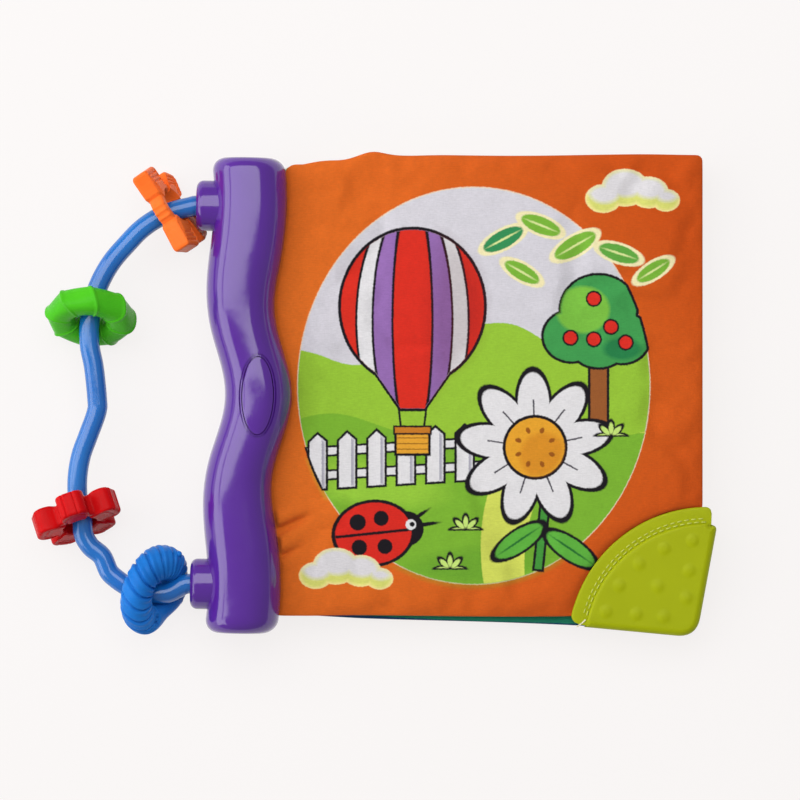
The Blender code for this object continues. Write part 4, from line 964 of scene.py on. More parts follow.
def front_print():
    """A round window on orange: a striped balloon, a daisy, a tree, a fence and a ladybird."""
    material, tree, shader = new_material("front_cover_printed_cloth")
    flat, place = page_place(tree)
    page = Print(tree, place)
    # Painted shade: the orange ground is darkened towards the right, away from the lamps at the left, and is
    # also darker towards the top and bottom edges.
    painted_shade = page.do("MULTIPLY_ADD", page.do("ABSOLUTE", page.y), 0.5, -0.10)
    painted_shade = page.do("MULTIPLY_ADD", page.x, 0.7, painted_shade)
    page.colour = mixed(tree, painted_shade, tint(224, 111, 36), tint(197, 78, 19))

    window = page.oval(0.546, 0.032, 0.562, 0.633)
    page.paint(window, tint(232, 208, 176), grown=0.003)
    page.paint(window, tint(208, 205, 212))
    far_hill = page.kept(page.below(0.155, ((0.055, 8.2, 3.6), (0.016, 19.0, 1.0)), 0.06), window)
    page.paint(far_hill, tint(148, 192, 56))
    near_hill = page.kept(page.below(-0.120, ((0.055, 5.4, 1.1), (0.010, 16.0, 0.0)), -0.02), window)
    page.paint(near_hill, tint(122, 176, 50))
    page.shade(page.kept(page.oval(0.22, -0.28, 0.22, 0.07, -8), near_hill), tint(152, 200, 62), 0.8, 0.04)
    page.shade(page.kept(page.oval(0.62, -0.56, 0.30, 0.08, 4), near_hill), tint(104, 160, 46), 0.8, 0.04)
    path = page.without(page.oval(0.99, -0.60, 0.40, 0.56, 20), page.oval(1.13, -0.66, 0.40, 0.56, 20))
    page.paint(page.kept(path, near_hill), tint(206, 214, 92))

    # Fence along the left of the hill
    fence, level, share = page.pickets(0.0, 0.094, 0.0255, -0.300, -0.128, 0.06)
    field = page.kept(window, page.do("SUBTRACT", page.x, 0.565))
    rails = page.joined(page.slab(level, -0.182, 0.011), page.slab(level, -0.258, 0.011))
    page.outlined(page.kept(rails, field), WHITE, 0.007)
    page.outlined(page.kept(fence, field), WHITE, 0.008)
    page.shade(page.kept(page.slab(share, 0.69, 0.055), page.do("ADD", fence, 0.003), field),
               tint(150, 148, 164), 0.8, 0.010)

    # Tree with round fruit
    page.outlined(page.kept(page.block(0.945, 0.015, 0.026, 0.150), window), tint(150, 88, 44))
    crown = page.joined(page.oval(0.945, 0.275, 0.120, 0.110), page.oval(0.858, 0.190, 0.088, 0.080),
                        page.oval(1.020, 0.185, 0.086, 0.080), page.oval(0.945, 0.165, 0.090, 0.074))
    crown = page.kept(crown, window)
    page.outlined(crown, tint(64, 152, 78))
    page.shade(page.kept(page.oval(0.895, 0.275, 0.085, 0.075), crown), tint(124, 190, 66), 0.95, 0.012)
    page.shade(page.kept(page.oval(1.020, 0.150, 0.060, 0.034), crown), tint(34, 122, 70), 0.9, 0.012)
    fruit = page.joined(*[page.oval(x, y, 0.020) for x, y in (
        (0.855, 0.185), (0.930, 0.310), (0.985, 0.220), (1.032, 0.170), (0.930, 0.180))])
    page.outlined(page.kept(fruit, window), tint(212, 44, 34), 0.006)

    # Striped balloon with a basket
    balloon = page.oval(0.350, 0.285, 0.228, 0.245)
    taper = page.do("MULTIPLY_ADD", page.do("ADD", page.y, 0.040), -0.70, page.slab(page.x, 0.350, 0.038))
    envelope = page.joined(balloon, page.kept(page.slab(page.y, 0.040, 0.080), taper))
    page.outlined(envelope, tint(214, 46, 32), 0.010)
    for width, colour in ((0.176, WHITE), (0.124, tint(146, 106, 172)), (0.060, tint(214, 46, 32))):
        stripe = page.kept(page.oval(0.350, 0.240, width, 0.380), envelope)
        page.paint(page.kept(page.do("SUBTRACT", stripe, 0.0075), envelope), BLACK)
        page.paint(stripe, colour)
    page.shade(page.kept(page.oval(0.500, 0.240, 0.095, 0.300), envelope), tint(96, 22, 30), 0.30, 0.07)
    for side in (1, -1):
        page.paint(page.block(0.350 + side * 0.040, -0.075, 0.0035, 0.036, side * -7), BLACK)
    basket = page.block(0.350, -0.148, 0.050, 0.036)
    page.outlined(basket, tint(224, 160, 50))
    weave = page.do("SUBTRACT", page.do("FRACT", page.do("MULTIPLY", page.y, 1 / 0.018)), 0.5)
    page.paint(page.kept(page.do("MULTIPLY_ADD", page.do("ABSOLUTE", weave), 0.018, -0.0014), basket),
               tint(140, 88, 28))
    page.outlined(page.block(0.350, -0.110, 0.056, 0.009), tint(196, 120, 38), 0.006)

    # Daisy
    page.outlined(page.block(0.765, -0.430, 0.0110, 0.125, -6), tint(66, 146, 58), 0.008)
    for x, y, turn in ((0.690, -0.465, 34), (0.855, -0.490, -34)):
        page.outlined(page.oval(x, y, 0.088, 0.033, turn), tint(92, 172, 62), 0.008)
        page.paint(page.oval(x, y, 0.070, 0.0035, turn), tint(40, 110, 48))
    petal, aside, along = page.petals(0.742, -0.165, 9, 0.142, 0.098, 0.050, 0.2)
    page.outlined(petal, WHITE, 0.010)
    line = page.kept(page.do("MULTIPLY_ADD", aside, 0.050, -0.0026),
                     page.do("MULTIPLY_ADD", along, 0.1, -0.012), page.do("ADD", petal, 0.012))
    page.paint(line, tint(70, 66, 76))
    page.outlined(page.oval(0.742, -0.165, 0.094), tint(226, 160, 46), 0.010)
    hollow = page.kept(page.oval(0.768, -0.192, 0.074), page.oval(0.742, -0.165, 0.090))
    page.shade(hollow, tint(205, 126, 32), 0.6, 0.02)
    seeds, _, _ = page.petals(0.742, -0.165, 8, 0.058, 0.010, 0.007)
    page.paint(seeds, tint(150, 84, 26))

    # Ladybird
    feelers = (page.oval(0.358, -0.392, 0.055, 0.0065, 34), page.oval(0.385, -0.412, 0.052, 0.0065, 8))
    page.paint(page.joined(*feelers), BLACK)
    page.paint(page.oval(0.330, -0.425, 0.056), BLACK)
    body = page.oval(0.225, -0.440, 0.122, 0.098, 6)
    page.outlined(body, tint(212, 42, 32), 0.010)
    spots = page.joined(page.oval(0.175, -0.405, 0.026), page.oval(0.250, -0.392, 0.024),
                        page.oval(0.180, -0.485, 0.025), page.oval(0.262, -0.482, 0.024))
    page.paint(page.kept(page.joined(spots, page.block(0.225, -0.440, 0.130, 0.0045, 6)), body), BLACK)
    page.paint(page.oval(0.345, -0.412, 0.017), WHITE)
    page.paint(page.oval(0.349, -0.411, 0.008), BLACK)

    # Tufts of grass and a spray of leaves
    for x, y in ((0.520, -0.420), (0.985, -0.120), (0.470, -0.545)):
        tuft, _, _ = page.petals(x, y - 0.010, 8, 0.026, 0.018, 0.0075, 0.5)
        tuft = page.kept(tuft, page.do("SUBTRACT", y - 0.006, page.y), window)
        page.outlined(tuft, tint(196, 226, 120), 0.0055)
    fresh = tint(120, 176, 58)
    for x, y, size, turn, colour in (
            (0.640, 0.500, 0.070, 28, tint(52, 140, 84)), (0.760, 0.545, 0.066, -22, fresh),
            (0.870, 0.480, 0.074, 30, fresh), (0.700, 0.395, 0.062, -30, fresh),
            (1.010, 0.455, 0.066, -18, tint(96, 164, 66)), (1.120, 0.400, 0.060, 32, fresh)):
        leaf = page.oval(x, y, size, size * 0.40, turn)
        page.paint(leaf, tint(236, 226, 176), grown=0.008)
        page.paint(leaf, colour)
        page.paint(page.oval(x, y, size * 0.72, 0.0035, turn), tint(214, 226, 150))
    page.cloud(((0.960, 0.630, 0.050), (1.030, 0.665, 0.068), (1.105, 0.650, 0.056), (1.160, 0.625, 0.038)))
    page.cloud(((0.040, -0.575, 0.046), (0.105, -0.545, 0.066), (0.185, -0.560, 0.056),
                (0.245, -0.585, 0.036)))
    cloth_finish(tree, shader, page.colour, flat)
    return material


def dotted(page, spacing, size, colour, shift=0.0):
    """A half-drop repeat of dots."""
    for offset in (0.0, 0.5):
        cells = []
        for value in (page.x, page.y):
            scaled = page.do("MULTIPLY_ADD", value, 1 / spacing, offset + shift)
            cells.append(page.do("SUBTRACT", page.do("FRACT", scaled), 0.5))
        reach = page.do("SQRT", page.do("ADD", page.do("MULTIPLY", cells[0], cells[0]),
                                        page.do("MULTIPLY", cells[1], cells[1])))
        page.paint(page.do("MULTIPLY_ADD", reach, spacing, -size), colour)


def back_print():
    """The orange carries on round the back, with a window of sky, hills and a sunflower."""
    material, tree, shader = new_material("back_cover_printed_cloth")
    flat, place = page_place(tree)
    page = Print(tree, place, tint(212, 94, 34))
    window = page.oval(0.60, 0.03, 0.40, 0.44)
    page.outlined(window, tint(198, 216, 226), 0.010, tint(226, 196, 96))
    hill = page.kept(page.below(-0.14, ((0.045, 8.0, 0.4),)), window)
    page.paint(hill, tint(138, 186, 58))
    page.outlined(page.kept(page.block(0.60, -0.22, 0.012, 0.17), window), tint(66, 142, 56), 0.007)
    for number in range(12):
        angle = spin(number, 12)
        page.outlined(page.oval(0.60 + 0.115 * cos(angle), 0.06 + 0.115 * sin(angle), 0.060, 0.028,
                                math.degrees(angle)), tint(240, 188, 52), 0.007)
    page.outlined(page.oval(0.60, 0.06, 0.078), tint(126, 70, 34), 0.008)
    page.cloud(((0.24, 0.56, 0.06), (0.32, 0.58, 0.075), (0.40, 0.56, 0.055)))
    page.cloud(((0.90, -0.56, 0.05), (0.97, -0.54, 0.065), (1.04, -0.56, 0.05)))
    cloth_finish(tree, shader, page.colour, flat)
    return material


def page_cloth(name, ground, motif, colours):
    """An inside page: plain ground with a large generic repeat."""
    material, tree, shader = new_material(name)
    flat, place = page_place(tree)
    page = Print(tree, place, tint(*ground))
    first, second, third = (tint(*colour) for colour in colours)
    if motif == "waves":
        page.paint(page.below(-0.02, ((0.03, 12.0, 0.0),)), first)
        page.paint(page.below(-0.30, ((0.03, 10.0, 1.5),)), second)
        page.paint(page.below(-0.6985, ((0.0015, 9.0, 0.4),), -0.039), third)
        for x, y in ((0.30, 0.35), (0.72, 0.48), (1.00, 0.25)):
            page.outlined(page.oval(x, y, 0.085), WHITE, 0.008)
            page.paint(page.oval(x, y, 0.050), third)
    elif motif == "dots":
        dotted(page, 0.22, 0.060, first)
        page.paint(page.below(-0.45, ((0.03, 9.0, 0.0),)), second)
        page.paint(page.below(-0.60, ((0.02, 14.0, 1.0),)), third)
    elif motif == "suns":
        for x, y, size in ((0.30, 0.30, 0.13), (0.88, 0.10, 0.17), (0.42, -0.34, 0.15)):
            rays, _, _ = page.petals(x, y, 10, size * 1.25, size * 0.32, size * 0.13)
            page.outlined(rays, first, 0.006)
            page.outlined(page.oval(x, y, size), second, 0.008)
            page.paint(page.oval(x, y, size * 0.55), third)
    else:
        page.paint(page.below(0.10, ((0.04, 7.0, 0.5),)), first)
        page.paint(page.below(-0.25, ((0.05, 6.0, 2.0),)), second)
        dotted(page, 0.30, 0.035, third, 0.2)
    cloth_finish(tree, shader, page.colour, flat)
    return material


# Leaves

def edge_rise(distance, roll=ROLL):
    share = 1 - min(1, max(0, distance / roll))
    return sqrt(max(0, 1 - share * share))


def leaf_width(number):
    return FREE_EDGE - TRIMS[number] - HINGE_X - HINGE_STEP * number


def leaf_limits(number, x):
    """Bottom and top edge at a distance from the hinge line; the edges waver a little."""
    width = leaf_width(number)
    drop = SAGS[number] * x / width
    along = x + HINGE_STEP * number
    dip = 0.0030 * max(0, 1 - max(0, along) / 0.0280) ** 2 + 0.0008 * ridge(along - 0.0130, 0.0050)
    inward = min(1, max(0, (-0.0019 - along) / 0.0038))
    dip += 0.0029 * (1 - sqrt(1 - inward ** 2))
    corners = []
    for radius in (LOW_CORNERS[number], CORNER):
        into = max(0, min(radius, width - x))
        corners.append(radius - sqrt(radius ** 2 - (radius - into) ** 2))
    low, high = PAGE_BOTTOM - drop + corners[0], PAGE_TOP - drop - dip - corners[1]
    waver = smoothstep(x / 0.02) * smoothstep((width - x) / 0.02)
    high += waver * 0.00025 * sin(x * 70 + number * 2)
    low += waver * 0.00025 * sin(x * 55 + 1 + number * 3)
    if number == 0:
        high += 0.0010 * ridge(x - 0.0224, 0.0045) - 0.0004 * ridge(x - 0.033, 0.008)
    return low, high


def teether_centre():
    return Vector((leaf_width(0) + 0.0016, PAGE_BOTTOM - TEETHER_BELOW, 0))


def leaf_middle(number, x):
    """Height of a leaf's mid plane: level inside the handle, then eased down to its own level."""
    inner = AXIS_HEIGHT - STACK_GAP - 0.00045 - number * STACK_STEP
    mouth = 0.0106 + 0.0006 * (len(LEAVES) - 1 - number)
    place = hinge(number)
    start = mouth - (place.x - BOOK.x)
    share = smoothstep((x - start) / (0.0045 - start))
    return inner + (place.z - inner) * share


def rolled(low, high, step, roll=ROLL, turns=7):
    """Places between two edges, close together where the cloth turns in."""
    edge = [roll * (1 - cos(pi / 2 * i / turns)) for i in range(turns + 1)]
    count = max(1, round((high - low - 2 * roll) / step))
    inner = [low + roll + (high - low - 2 * roll) * i / count for i in range(1, count)]
    return [low + value for value in edge] + inner + [high - value for value in reversed(edge)]


def puckered_field(size=(0.127, 0.147), cells=(50, 58)):
    """Cloth a little longer than its seams, held at the seams and pushed up by the wadding.

    Returns heights on a grid; without the simulation they come from noise alone."""
    columns, rows = cells[0] + 1, cells[1] + 1
    start = np.zeros((rows, columns))
    for row in range(rows):
        for column in range(columns):
            place = Vector((column * 0.11, row * 0.11, 3.7))
            start[row, column] = 0.00012 * noise.noise(place) + 0.00010 * noise.noise(place * 3.1)
    work = bmesh.new()
    grid = [[work.verts.new((size[0] * column / cells[0], size[1] * row / cells[1], start[row, column]))
             for column in range(columns)] for row in range(rows)]
    grid_faces(work, grid)
    sheet = add_piece("puckering_cloth", mesh_of("puckering_cloth", work))
    group = sheet.vertex_groups.new(name="sewn")
    for index in range(rows * columns):
        row, column = divmod(index, columns)
        edge = row in (0, rows - 1) or column in (0, columns - 1)
        group.add([index], 1.0 if edge else 0.02, "REPLACE")
    cloth = sheet.modifiers.new("Cloth", "CLOTH")
    settings = cloth.settings
    settings.quality = 6
    settings.mass = 0.2
    settings.tension_stiffness = settings.compression_stiffness = 30
    settings.shear_stiffness = 10
    settings.bending_stiffness = 0.6
    settings.shrink_min = -0.018
    settings.use_pressure = True
    settings.uniform_pressure_force = 1.0
    settings.vertex_group_mass = "sewn"
    settings.effector_weights.gravity = 0
    cloth.collision_settings.use_collision = False
    scene = bpy.context.scene
    for number in range(1, 21):
        scene.frame_set(number)
    graph = bpy.context.evaluated_depsgraph_get()
    shape = sheet.evaluated_get(graph).to_mesh()
    heights = np.array([vert.co.z for vert in shape.vertices]).reshape(rows, columns)
    sheet.evaluated_get(graph).to_mesh_clear()
    scene.frame_set(1)
    bpy.data.objects.remove(sheet, do_unlink=True)
    return heights


def field_reader(heights, flip_x=False, flip_y=False):
    rows, columns = heights.shape

    def read(across, along):
        across = 1 - across if flip_x else across
        along = 1 - along if flip_y else along
        x = min(columns - 1.001, max(0, across * (columns - 1)))
        y = min(rows - 1.001, max(0, along * (rows - 1)))
        column, row = int(x), int(y)
        x, y = x - column, y - row
        return ((heights[row, column] * (1 - x) + heights[row, column + 1] * x) * (1 - y)
                + (heights[row + 1, column] * (1 - x) + heights[row + 1, column + 1] * x) * y)

    return read


def fold(x, y, start, end, depth, width):
    """A sharp fold with soft swells on both sides that dies out towards its end."""
    start, end = Vector(start), Vector(end)
    line = end - start
    share = max(0, min(1, (Vector((x, y)) - start).dot(line) / line.length_squared))
    near = start + line * share
    side = (x - near.x) * -line.y + (y - near.y) * line.x
    distance = math.copysign(math.hypot(x - near.x, y - near.y), side) / width
    swells = 0.62 * ridge(distance - 2.4, 1.9) + 0.40 * ridge(distance + 2.4, 1.9)
    return (1 - smoothstep(share)) * depth * (swells - ridge(distance, 0.9))


def creases(x, y):
    """The folds that run from the handle into the lower left of the front cover."""
    return (fold(x, y, (-0.0092, -0.0440), (0.0066, -0.0360), 0.0030, 0.0014)
            + fold(x, y, (-0.0070, -0.0514), (0.0022, -0.0470), 0.0012, 0.0010))


def refined(values, low, high, step):
    """Add places where neighbours within a stretch stand further apart than a step."""
    result = values[:1]
    for value in values[1:]:
        before = result[-1]
        if before >= low and value <= high:
            count = math.ceil((value - before) / step - 0.001)
            result += [before + (value - before) * i / count for i in range(1, count)]
        result.append(value)
    return result


def page_height(number, outer, field, x, y):
    """Height of the middle of one cloth of a leaf."""
    width = leaf_width(number)
    low, high = leaf_limits(number, x)
    rise = edge_rise(width - x) * edge_rise(y - low) * edge_rise(high - y)
    entry = 0.08 + 0.92 * smoothstep((x + 0.0035) / 0.0135)
    beside = HINGE_X + x - handle_edge(y)
    if number == 0 and outer:
        entry = 0.08 + 0.92 * edge_rise(beside - 0.0002, 0.0065)
    if number == 0:
        gap = (Vector((x, y, 0)) - teether_centre()).length - FLANGE_RADIUS - 0.0002
        rise *= edge_rise(gap, 0.0045)
    across, along = x / width, (y - low) / (high - low)
    arches = [sin(pi * min(1, max(0, share))) for share in (across, along)]
    crown = 0.92 + 0.08 * arches[0] * arches[1]
    half = SEAM_HALF + (HALF_THICKNESS - SEAM_HALF) * rise * entry * crown
    wrinkle = field(across, along) * rise * smoothstep((x + 0.002) / 0.012) if x > -0.002 else 0
    side = 1 if outer else -1
    if number == 0 and outer:
        wrinkle = max(-0.00032, min(0.0011, wrinkle))
        wrinkle += creases(x, y) * rise * smoothstep((beside - 0.0002) / 0.0012)
        wrinkle = max(-0.0015, min(0.0014, wrinkle))
    elif number == 3 and not outer:
        wrinkle = max(-0.0003, min(0.0, wrinkle - 0.0001))
    else:
        wrinkle = max(-0.00022, min(0.00022, wrinkle))
    half = max(SEAM_HALF * 0.98, half + wrinkle)
    return leaf_middle(number, x) + side * (half - CLOTH / 2)


def page_piece(number, outer, field, material):
    """One printed cloth of a leaf, from inside the handle to the free edge."""
    name = f"{LEAVES[number]}_{'upper' if outer else 'lower'}_cloth"
    width, place = leaf_width(number), hinge(number)
    start = -0.0035 - (place.x - BOOK.x)
    columns = [start, start + 0.004, start + 0.007]
    first = -0.0092
    columns += [first + i * 0.0013 for i in range(8)]
    tail = rolled(first + 8 * 0.0013 - ROLL, width, CLOTH_STEP)
    columns += [x for x in tail if x > columns[-1] + 0.0004]
    low, high = leaf_limits(number, width / 2)
    lines = rolled(low, high, CLOTH_STEP)
    if number == 0 and outer:
        columns = refined(columns, -0.0125, 0.0130, FINE_STEP)
        lines = refined(lines, -0.0580, -0.0300, FINE_STEP)
    shares = [(y - low) / (high - low) for y in lines]
    work = bmesh.new()
    uv = work.loops.layers.uv.new("page")
    flat = {}
    rows = []
    for share in shares:
        row = []
        for x in columns:
            low, high = leaf_limits(number, x)
            y = low + (high - low) * share
            vert = work.verts.new((place.x + x, place.y + y, page_height(number, outer, field, x, y)))
            flat[vert] = (x / PAGE_UNIT, y / PAGE_UNIT)
            row.append(vert)
        rows.append(row)
    for face in grid_faces(work, rows, not outer):
        for loop in face.loops:
            loop[uv].uv = flat[loop.vert]
    if number == 0:
        centre = teether_centre() + Vector((place.x, place.y, 0))
        radius = POCKET_RADIUS + 0.0006
        inside = {vert for vert in work.verts if level_way(vert.co, centre).length < radius}
        gone = [face for face in work.faces if all(vert in inside for vert in face.verts)]
        bmesh.ops.delete(work, geom=gone, context="FACES")
        for vert in [vert for vert in inside if vert.is_valid]:
            way = level_way(vert.co, centre)
            if way.length > 1e-6:
                reach = centre + way.normalized() * radius
                vert.co.x, vert.co.y = reach.x, reach.y
        bmesh.ops.remove_doubles(work, verts=[vert for vert in work.verts if vert in inside], dist=0.00008)
        loose = [vert for vert in work.verts if not vert.link_faces]
        bmesh.ops.delete(work, geom=loose, context="VERTS")
    mesh = bpy.data.meshes.new(name)
    work.to_mesh(mesh)
    work.free()
    cloth = add_piece(name, mesh, material)
    thicken(cloth, CLOTH)
    cross_hinge(cloth)
    if outer:
        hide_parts(LEAVES[number] + "_outer_cloth", LEAVES[number] + "_margin")
    else:
        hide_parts(LEAVES[number] + "_inner_cloth")


def cross_hinge(obj):
    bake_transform(obj)


def inner_sheet(number, name, height, thickness, material, rough):
    """A layer inside a leaf, clear of its seams and of the flat corner."""
    width, place, inset = leaf_width(number), hinge(number), 0.0052
    work = bmesh.new()
    count = round((width - 2 * inset) / LAYER_STEP)
    columns = [inset + (width - 2 * inset) * i / count for i in range(count + 1)]
    rows = []
    for share in (i / LAYER_ROWS for i in range(LAYER_ROWS + 1)):
        row = []
        for x in columns:
            low, high = leaf_limits(number, x)
            low, high = low + inset, high - inset
            y = low + (high - low) * share
            wrinkle = rough * noise.noise(Vector((x * 210, y * 210, number + height * 4000)))
            row.append(work.verts.new((place.x + x, place.y + y, leaf_middle(number, x) + height + wrinkle)))
        rows.append(row)
    grid_faces(work, rows)
    if number == 0:
        centre = teether_centre() + Vector((place.x, place.y, 0))
        reach = FLANGE_RADIUS + 0.0045
        near = [vert for vert in work.verts if level_way(vert.co, centre).length < reach]
        bmesh.ops.delete(work, geom=near, context="VERTS")
    area = sum(face.calc_area() for face in work.faces)
    layer = add_piece(name, mesh_of(name, work), material)
    thicken(layer, thickness)
    low, high = leaf_limits(number, width / 2)
    return layer, (width - 2 * inset, high - low - 2 * inset), area


def crinkle_film():
    material, tree, shader, place = object_material("crinkle_film_sheet")
    folds = clouds(tree, place, 240, 5, 0.7)
    surfaced(tree, shader, folds, tint(226, 228, 232), tint(206, 208, 214), folds, 0.12, 0.30)
    preset(shader, Transmission_Weight=0.4)
    bumped(tree, shader, folds, 0.0004)
    return material


def wadding_fibre():
    material, tree, shader, place = object_material("wadding_fibre")
    fluff = clouds(tree, place, 420, 6, 0.75)
    surfaced(tree, shader, fluff, tint(240, 240, 238), tint(218, 218, 214), fluff, 0.9, 1.0)
    preset(shader, Sheen_Weight=0.3)
    bumped(tree, shader, fluff, 0.0004)
    return material


def plain_tape():
    material, tree, shader, place = object_material("binding_tape_weave")
    flat = vectors(tree, "MULTIPLY", place, (10.0, 10.0, 10.0))
    colour = mixed(tree, clouds(tree, flat, 14), tint(226, 224, 216), tint(206, 204, 196))
    cloth_finish(tree, shader, colour, flat)
    return material


def binding_piece():
    """Folded tape round the sewn inner ends of the leaves."""
    middle = AXIS_HEIGHT - STACK_GAP - STACK_HEIGHT / 2
    radius = STACK_HEIGHT / 2 + 0.0003 + TAPE / 2
    profile = [(0.0004, middle + radius), (-0.0010, middle + radius)]
    for step in range(13):
        angle = pi / 2 + pi * step / 12
        profile.append((-0.0029 + radius * cos(angle), middle + radius * sin(angle)))
    profile += [(-0.0010, middle - radius), (0.0004, middle - radius)]
    low, high = BINDING_LOW[1], BINDING_HIGH[1]
    work = bmesh.new()
    count = 60
    rows = [[work.verts.new((BOOK.x + x, low + (high - low) * row / count, z)) for x, z in profile]
            for row in range(count + 1)]
    grid_faces(work, rows)
    tape = add_piece("folded_binding_tape", mesh_of("folded_binding_tape", work), plain_tape())
    thicken(tape, TAPE)
    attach(tape, "handle")
    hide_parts("spine_binding")


# Corner teether

def silicone():
    material, tree, shader, place = object_material("lime_silicone")
    drift = clouds(tree, place, 60, 4, 0.6)
    dust = clouds(tree, place, 1400, 3, 0.7)
    surfaced(tree, shader, drift, tint(168, 178, 4), tint(158, 168, 1), dust, 0.40, 0.58)
    preset(shader, Specular_IOR_Level=0.15, Subsurface_Weight=0.10, Subsurface_Radius=(0.9, 1.0, 0.25),
           Subsurface_Scale=0.0016)
    bumped(tree, shader, maths(tree, "ADD", drift, maths(tree, "MULTIPLY", dust, 0.25)), 0.00012, 0.6)
    return material


def thread_material(name, light, deep):
    material, tree, shader, place = object_material(name)
    strand = clouds(tree, place, 3000, 2, 0.6)
    surfaced(tree, shader, strand, light, deep, strand, 0.6, 0.85)
    bumped(tree, shader, strand, 0.00008)
    return material


def nub_places(centre):
    places = []
    for radius, count, spread in ((0.0343, 5, 63), (0.0250, 3, 52), (0.0169, 2, 32)):
        for number in range(count):
            angle = radians(129.5 + spread * (number / (count - 1) - 0.5))
            places.append((centre.x + radius * cos(angle), centre.y + radius * sin(angle)))
    return places


def rounded_line(corners):
    """Points along a line whose inner corners are rounded: (place, rounding)."""
    points = []
    for before, (turn, rounding), after in zip(corners, corners[1:], corners[2:]):
        first = turn + (before[0] - turn).normalized() * rounding
        last = turn + (after[0] - turn).normalized() * rounding
        for step in range(13):
            t = step / 12
            points.append(first * (1 - t) ** 2 + turn * 2 * t * (1 - t) + last * t ** 2)
    return [corners[0][0]] + points + [corners[-1][0]]


def spread(points, count):
    """Places at equal steps along a line."""
    lengths = [0]
    for first, second in zip(points, points[1:]):
        lengths.append(lengths[-1] + (second - first).length)
    result = []
    index = 0
    for step in range(count + 1):
        reach = lengths[-1] * step / count
        while index < len(points) - 2 and lengths[index + 1] < reach:
            index += 1
        share = (reach - lengths[index]) / (lengths[index + 1] - lengths[index])
        result.append(points[index].lerp(points[index + 1], min(1, max(0, share))))
    return result


def teether_body(work, centre, place):
    """A thick pad, rounded on all sides, with low nubs and a pocket for the cloth along its seam."""
    pocket, lip, top, underside = LIP_LOW, 0.00170, 0.0024, 0.0018
    corner_x, corner_y = leaf_width(0), centre.y + TEETHER_BELOW
    right, nubs = corner_x + 0.0048, nub_places(centre)
    turn = Vector((right - 0.0066, corner_y - 0.0071))
    far_side = rounded_line([(Vector((right - 0.0020, centre.y + 0.0388)), 0),
                             (Vector((right, centre.y + 0.0386)), 0.0017), (turn, 0.0065),
                             (Vector((centre.x - STITCH_RADIUS - 0.0002, corner_y - 0.0037)), 0)])
    far_side = spread(far_side, 150)
    middle = Vector((centre.x, centre.y))
    seam = []
    for step in range(151):
        angle = radians(88.2 + 82 * step / 150)
        seam.append(middle + Vector((cos(angle), sin(angle))) * STITCH_RADIUS)
    rim = spread([seam[0]] + far_side + [seam[-1]], 560)
    rim = np.array([(point.x, point.y) for point in rim])
    rings = []
    for near, far in zip(seam, far_side):
        line = far - near
        length = line.length
        shares = [k / 63 for k in range(64)]
        if length > 0.006:
            reaches = [0, 0.0002, 0.0005, 0.0009, 0.0014, 0.0020]
            reaches += [0.0020 + (length - 0.0044) * k / 46 for k in range(1, 46)]
            reaches += [length - 0.0024 * (1 - sin(pi / 2 * k / 12)) for k in range(13)]
            shares = [reach / length for reach in reaches]
        upper, lower = [], []
        for share in shares:
            point = near + line * share
            gap = float(np.hypot(rim[:, 0] - point.x, rim[:, 1] - point.y).min())
            rise = edge_rise(gap, 0.0022)
            height = lip + (top - lip) * edge_rise(share * length, 0.0012)
            for nub_x, nub_y in nubs:
                distance = math.hypot(point.x - nub_x, point.y - nub_y)
                height += 0.00034 * (1 - smoothstep((distance - 0.0006) / 0.0019))
            upper.append((point, 0.00006 + height * rise))
            lower.append((point, -0.00006 - underside * edge_rise(gap, 0.0018)))
        mouth = min(pocket, upper[0][1] * 0.6)
        deep = near + line * (min(0.0021, length * 0.5) / length)
        ring = upper + lower[::-1] + [(near, -mouth), (deep, -mouth), (deep, mouth), (near, mouth)]
        rings.append([(place.x + point.x, place.y + point.y, place.z + height) for point, height in ring])
    skin(work, rings)


def teether_lip(work, centre, place, side):
    """One thin lip of the flange over the cloth, with rounded ends."""
    low, high = radians(88.1), radians(170.2)
    length = (high - low) * FLANGE_RADIUS
    rings = []
    for step in range(181):
        share = step / 180
        reach = length * share
        right, left = max(0, 1 - reach / 0.0020), max(0, 1 - (length - reach) / 0.0030)
        outer = (FLANGE_RADIUS - 0.0020 * (1 - sqrt(1 - right ** 2))
                 - 0.0030 * (1 - sqrt(1 - left ** 2)))
        angle = low + (high - low) * share
        ring = []
        for radius, height in ((0.0387, 0.00085), (0.0387, 0.00160), (STITCH_RADIUS + 0.0001, 0.00168),
                               (STITCH_RADIUS + 0.0009, 0.00175), (outer - 0.0010, 0.00175),
                               (outer - 0.0004, 0.00170), (outer - 0.0001, 0.00155), (outer, 0.00132),
                               (outer, 0.00085)):
            ring.append((place.x + centre.x + radius * cos(angle),
                         place.y + centre.y + radius * sin(angle), place.z + side * height))
        rings.append(ring)
    skin(work, rings)


def teether_piece():
    """Silicone corner: a thick pad with two thin lips that take the cloth between them."""
    centre, place = teether_centre(), hinge(0)
    work = bmesh.new()
    teether_body(work, centre, place)
    teether_lip(work, centre, place, 1)
    teether_lip(work, centre, place, -1)
    teether = add_piece("silicone_corner", mesh_of("silicone_corner", work), silicone(), sharp=50)
    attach(teether, "front_cover")
    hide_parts("corner_teether")
    stitch_rows(centre, place, LIP_HIGH)


def strand(work, points, radius, sides=8):
    """A thread through some points, thin at its ends where it dives into the material."""
    rings = []
    for i, point in enumerate(points):
        before, after = points[max(0, i - 1)], points[min(len(points) - 1, i + 1)]
        way = (after - before).normalized()
        across = way.cross(Vector((0, 0, 1))).normalized()
        up = across.cross(way)
        size = radius * (0.55 if i in (0, len(points) - 1) else 1)
        rings.append([point + (across * cos(spin(k, sides)) + up * sin(spin(k, sides))) * size
                      for k in range(sides)])
    skin(work, rings)


